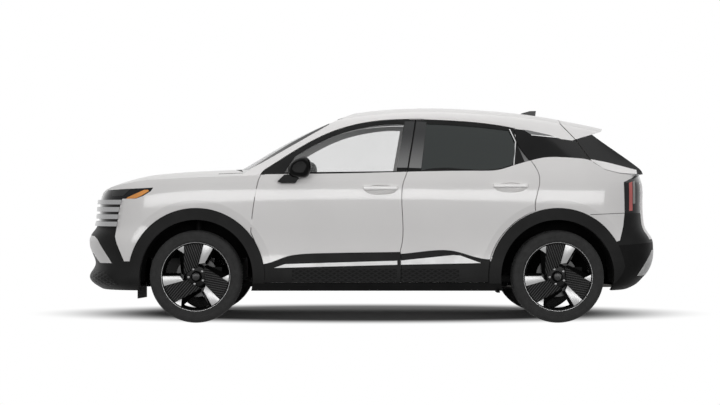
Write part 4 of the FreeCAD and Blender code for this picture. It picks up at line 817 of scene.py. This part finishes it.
def wiperMesh(glass, look):
    tree = BVHTree.FromPolygons([v.co for v in glass.vertices], [p.vertices[:] for p in glass.polygons])
    (startY, startZ), (endY, endZ) = look["start"], look["end"]
    spots = []
    for step in range(look["steps"]):
        share = step / (look["steps"] - 1)
        y, z = startY + (endY - startY) * share, startZ + (endZ - startZ) * share
        spots.append(onGlass(tree, look["behind"], y, z))
    lift, work = look["lift"], bmesh.new()
    for (a, normalA), (b, normalB) in zip(spots, spots[1:]):
        addBar(work, a + normalA * lift, b + normalB * lift, (normalA + normalB).normalized(),
               look["bladeWide"], look["bladeTall"], look["soft"])
    root, rootNormal = onGlass(tree, look["behind"], *look["pivot"])
    foot = root + rootNormal * lift
    middle, middleNormal = spots[len(spots) // 2]
    addBar(work, foot + rootNormal * look["armFoot"], middle + middleNormal * (lift + look["armHead"]),
           rootNormal, look["armWide"], look["armTall"], look["soft"])
    turn = rootNormal.to_track_quat("Z", "Y").to_matrix().to_4x4()
    flatten = Matrix.Diagonal((1, 1, look["capTall"] / look["capRadius"], 1))
    bmesh.ops.create_uvsphere(work, u_segments=24, v_segments=12, radius=look["capRadius"],
                              matrix=Matrix.Translation(foot) @ turn @ flatten)
    bmesh.ops.recalc_face_normals(work, faces=work.faces)
    return toMesh(work, "rearWiper", look["sharpAngle"])


wiperBlack = plasticFinish("wiperBlack", grey(0.004), 0.5, specular=0.12)
addPiece(wiperMesh(nodes["liftgate_glass"].data, wiperLook), "rearWiper", "tailgate", wiperBlack)
print("rear wiper made")


# studio: a long lens level with the side, a white surround and two soft lamps
cameraLook = {"place": (-0.086, -14.885, 0.885), "lens": 95.5, "sensor": 36.0, "farthest": 100.0}
worldLook = {"ambient": 0.30, "white": 1.0}
floorLook = {"seen": 0.42, "bounce": 0.16, "halfLength": 2.65, "halfWidth": 1.45, "middle": 0.45,
             "fadeStart": 0.62, "fadeEnd": 1.05, "size": 40.0}
lampLook = {
    "overhead": dict(place=(0, -0.4, 4.6), aim=(0, 0, 0), width=7.0, height=3.0, power=75),
    "frontPanel": dict(place=(0, -12.5, 1.95), aim=(0, 0, 1.0), width=17.0, height=2.5, power=720),
}

cameraData = bpy.data.cameras.new("sideCamera")
cameraData.lens = cameraLook["lens"]
cameraData.sensor_width = cameraLook["sensor"]
cameraData.clip_end = cameraLook["farthest"]
camera = bpy.data.objects.new("sideCamera", cameraData)
camera.location = cameraLook["place"]
camera.rotation_euler = (math.pi / 2, 0, 0)
bpy.context.scene.collection.objects.link(camera)
bpy.context.scene.camera = camera


def seenDirectly(tree):                               # camera, glossy and glass rays
    rays = tree.nodes.new("ShaderNodeLightPath")
    seen = Wire(tree, rays.outputs["Is Camera Ray"])
    for name in ("Is Glossy Ray", "Is Transmission Ray"):
        seen = seen.maths("MAXIMUM", Wire(tree, rays.outputs[name]))
    return seen


world = bpy.data.worlds.new("studio")
bpy.context.scene.world = world
world.use_nodes = True
surround = world.node_tree.nodes["Background"]
surround.inputs["Color"].default_value = (1, 1, 1, 1)
strength = seenDirectly(world.node_tree) * (worldLook["white"] - worldLook["ambient"]) + worldLook["ambient"]
plug(world.node_tree, surround.inputs["Strength"], strength)


def floorFinish(look):                                # grey near the car, glowing white outside an ellipse
    ground = Finish("studioFloor", grey(look["seen"]), 0.9, specular=0.0)
    x, y, z = ground.axes()
    back = y - look["middle"]
    reach = ((x * x) / look["halfLength"] ** 2 + (back * back) / look["halfWidth"] ** 2).maths("SQRT")
    seen = seenDirectly(ground.tree)
    ground.set("Base Color", ground.blend(seen, grey(look["bounce"]), grey(look["seen"])))
    glow = ground.node("ShaderNodeEmission", Strength=1.0)
    mixer = ground.tree.nodes.new("ShaderNodeMixShader")
    plug(ground.tree, mixer.inputs[0], seen * reach.ramp(look["fadeStart"], look["fadeEnd"]))
    ground.tree.links.new(ground.shader.outputs[0], mixer.inputs[1])
    ground.tree.links.new(glow.socket, mixer.inputs[2])
    ground.tree.links.new(mixer.outputs[0], ground.out.inputs[0])
    return ground


work = bmesh.new()
bmesh.ops.create_grid(work, x_segments=8, y_segments=8, size=floorLook["size"])
floorMesh = bpy.data.meshes.new("floor")
work.to_mesh(floorMesh)
work.free()
floor = bpy.data.objects.new("floor", floorMesh)
floor.data.materials.append(floorFinish(floorLook).material)
bpy.context.scene.collection.objects.link(floor)

for name, look in lampLook.items():
    data = bpy.data.lights.new(name, "AREA")
    data.shape = "RECTANGLE"
    data.size, data.size_y = look["width"], look["height"]
    data.energy = look["power"]
    lamp = bpy.data.objects.new(name, data)
    lamp.location = look["place"]
    lamp.rotation_euler = (Vector(look["aim"]) - Vector(look["place"])).to_track_quat("-Z", "Y").to_euler()
    bpy.context.scene.collection.objects.link(lamp)
bpy.context.scene.view_settings.view_transform = "Standard"

print("studio ready")
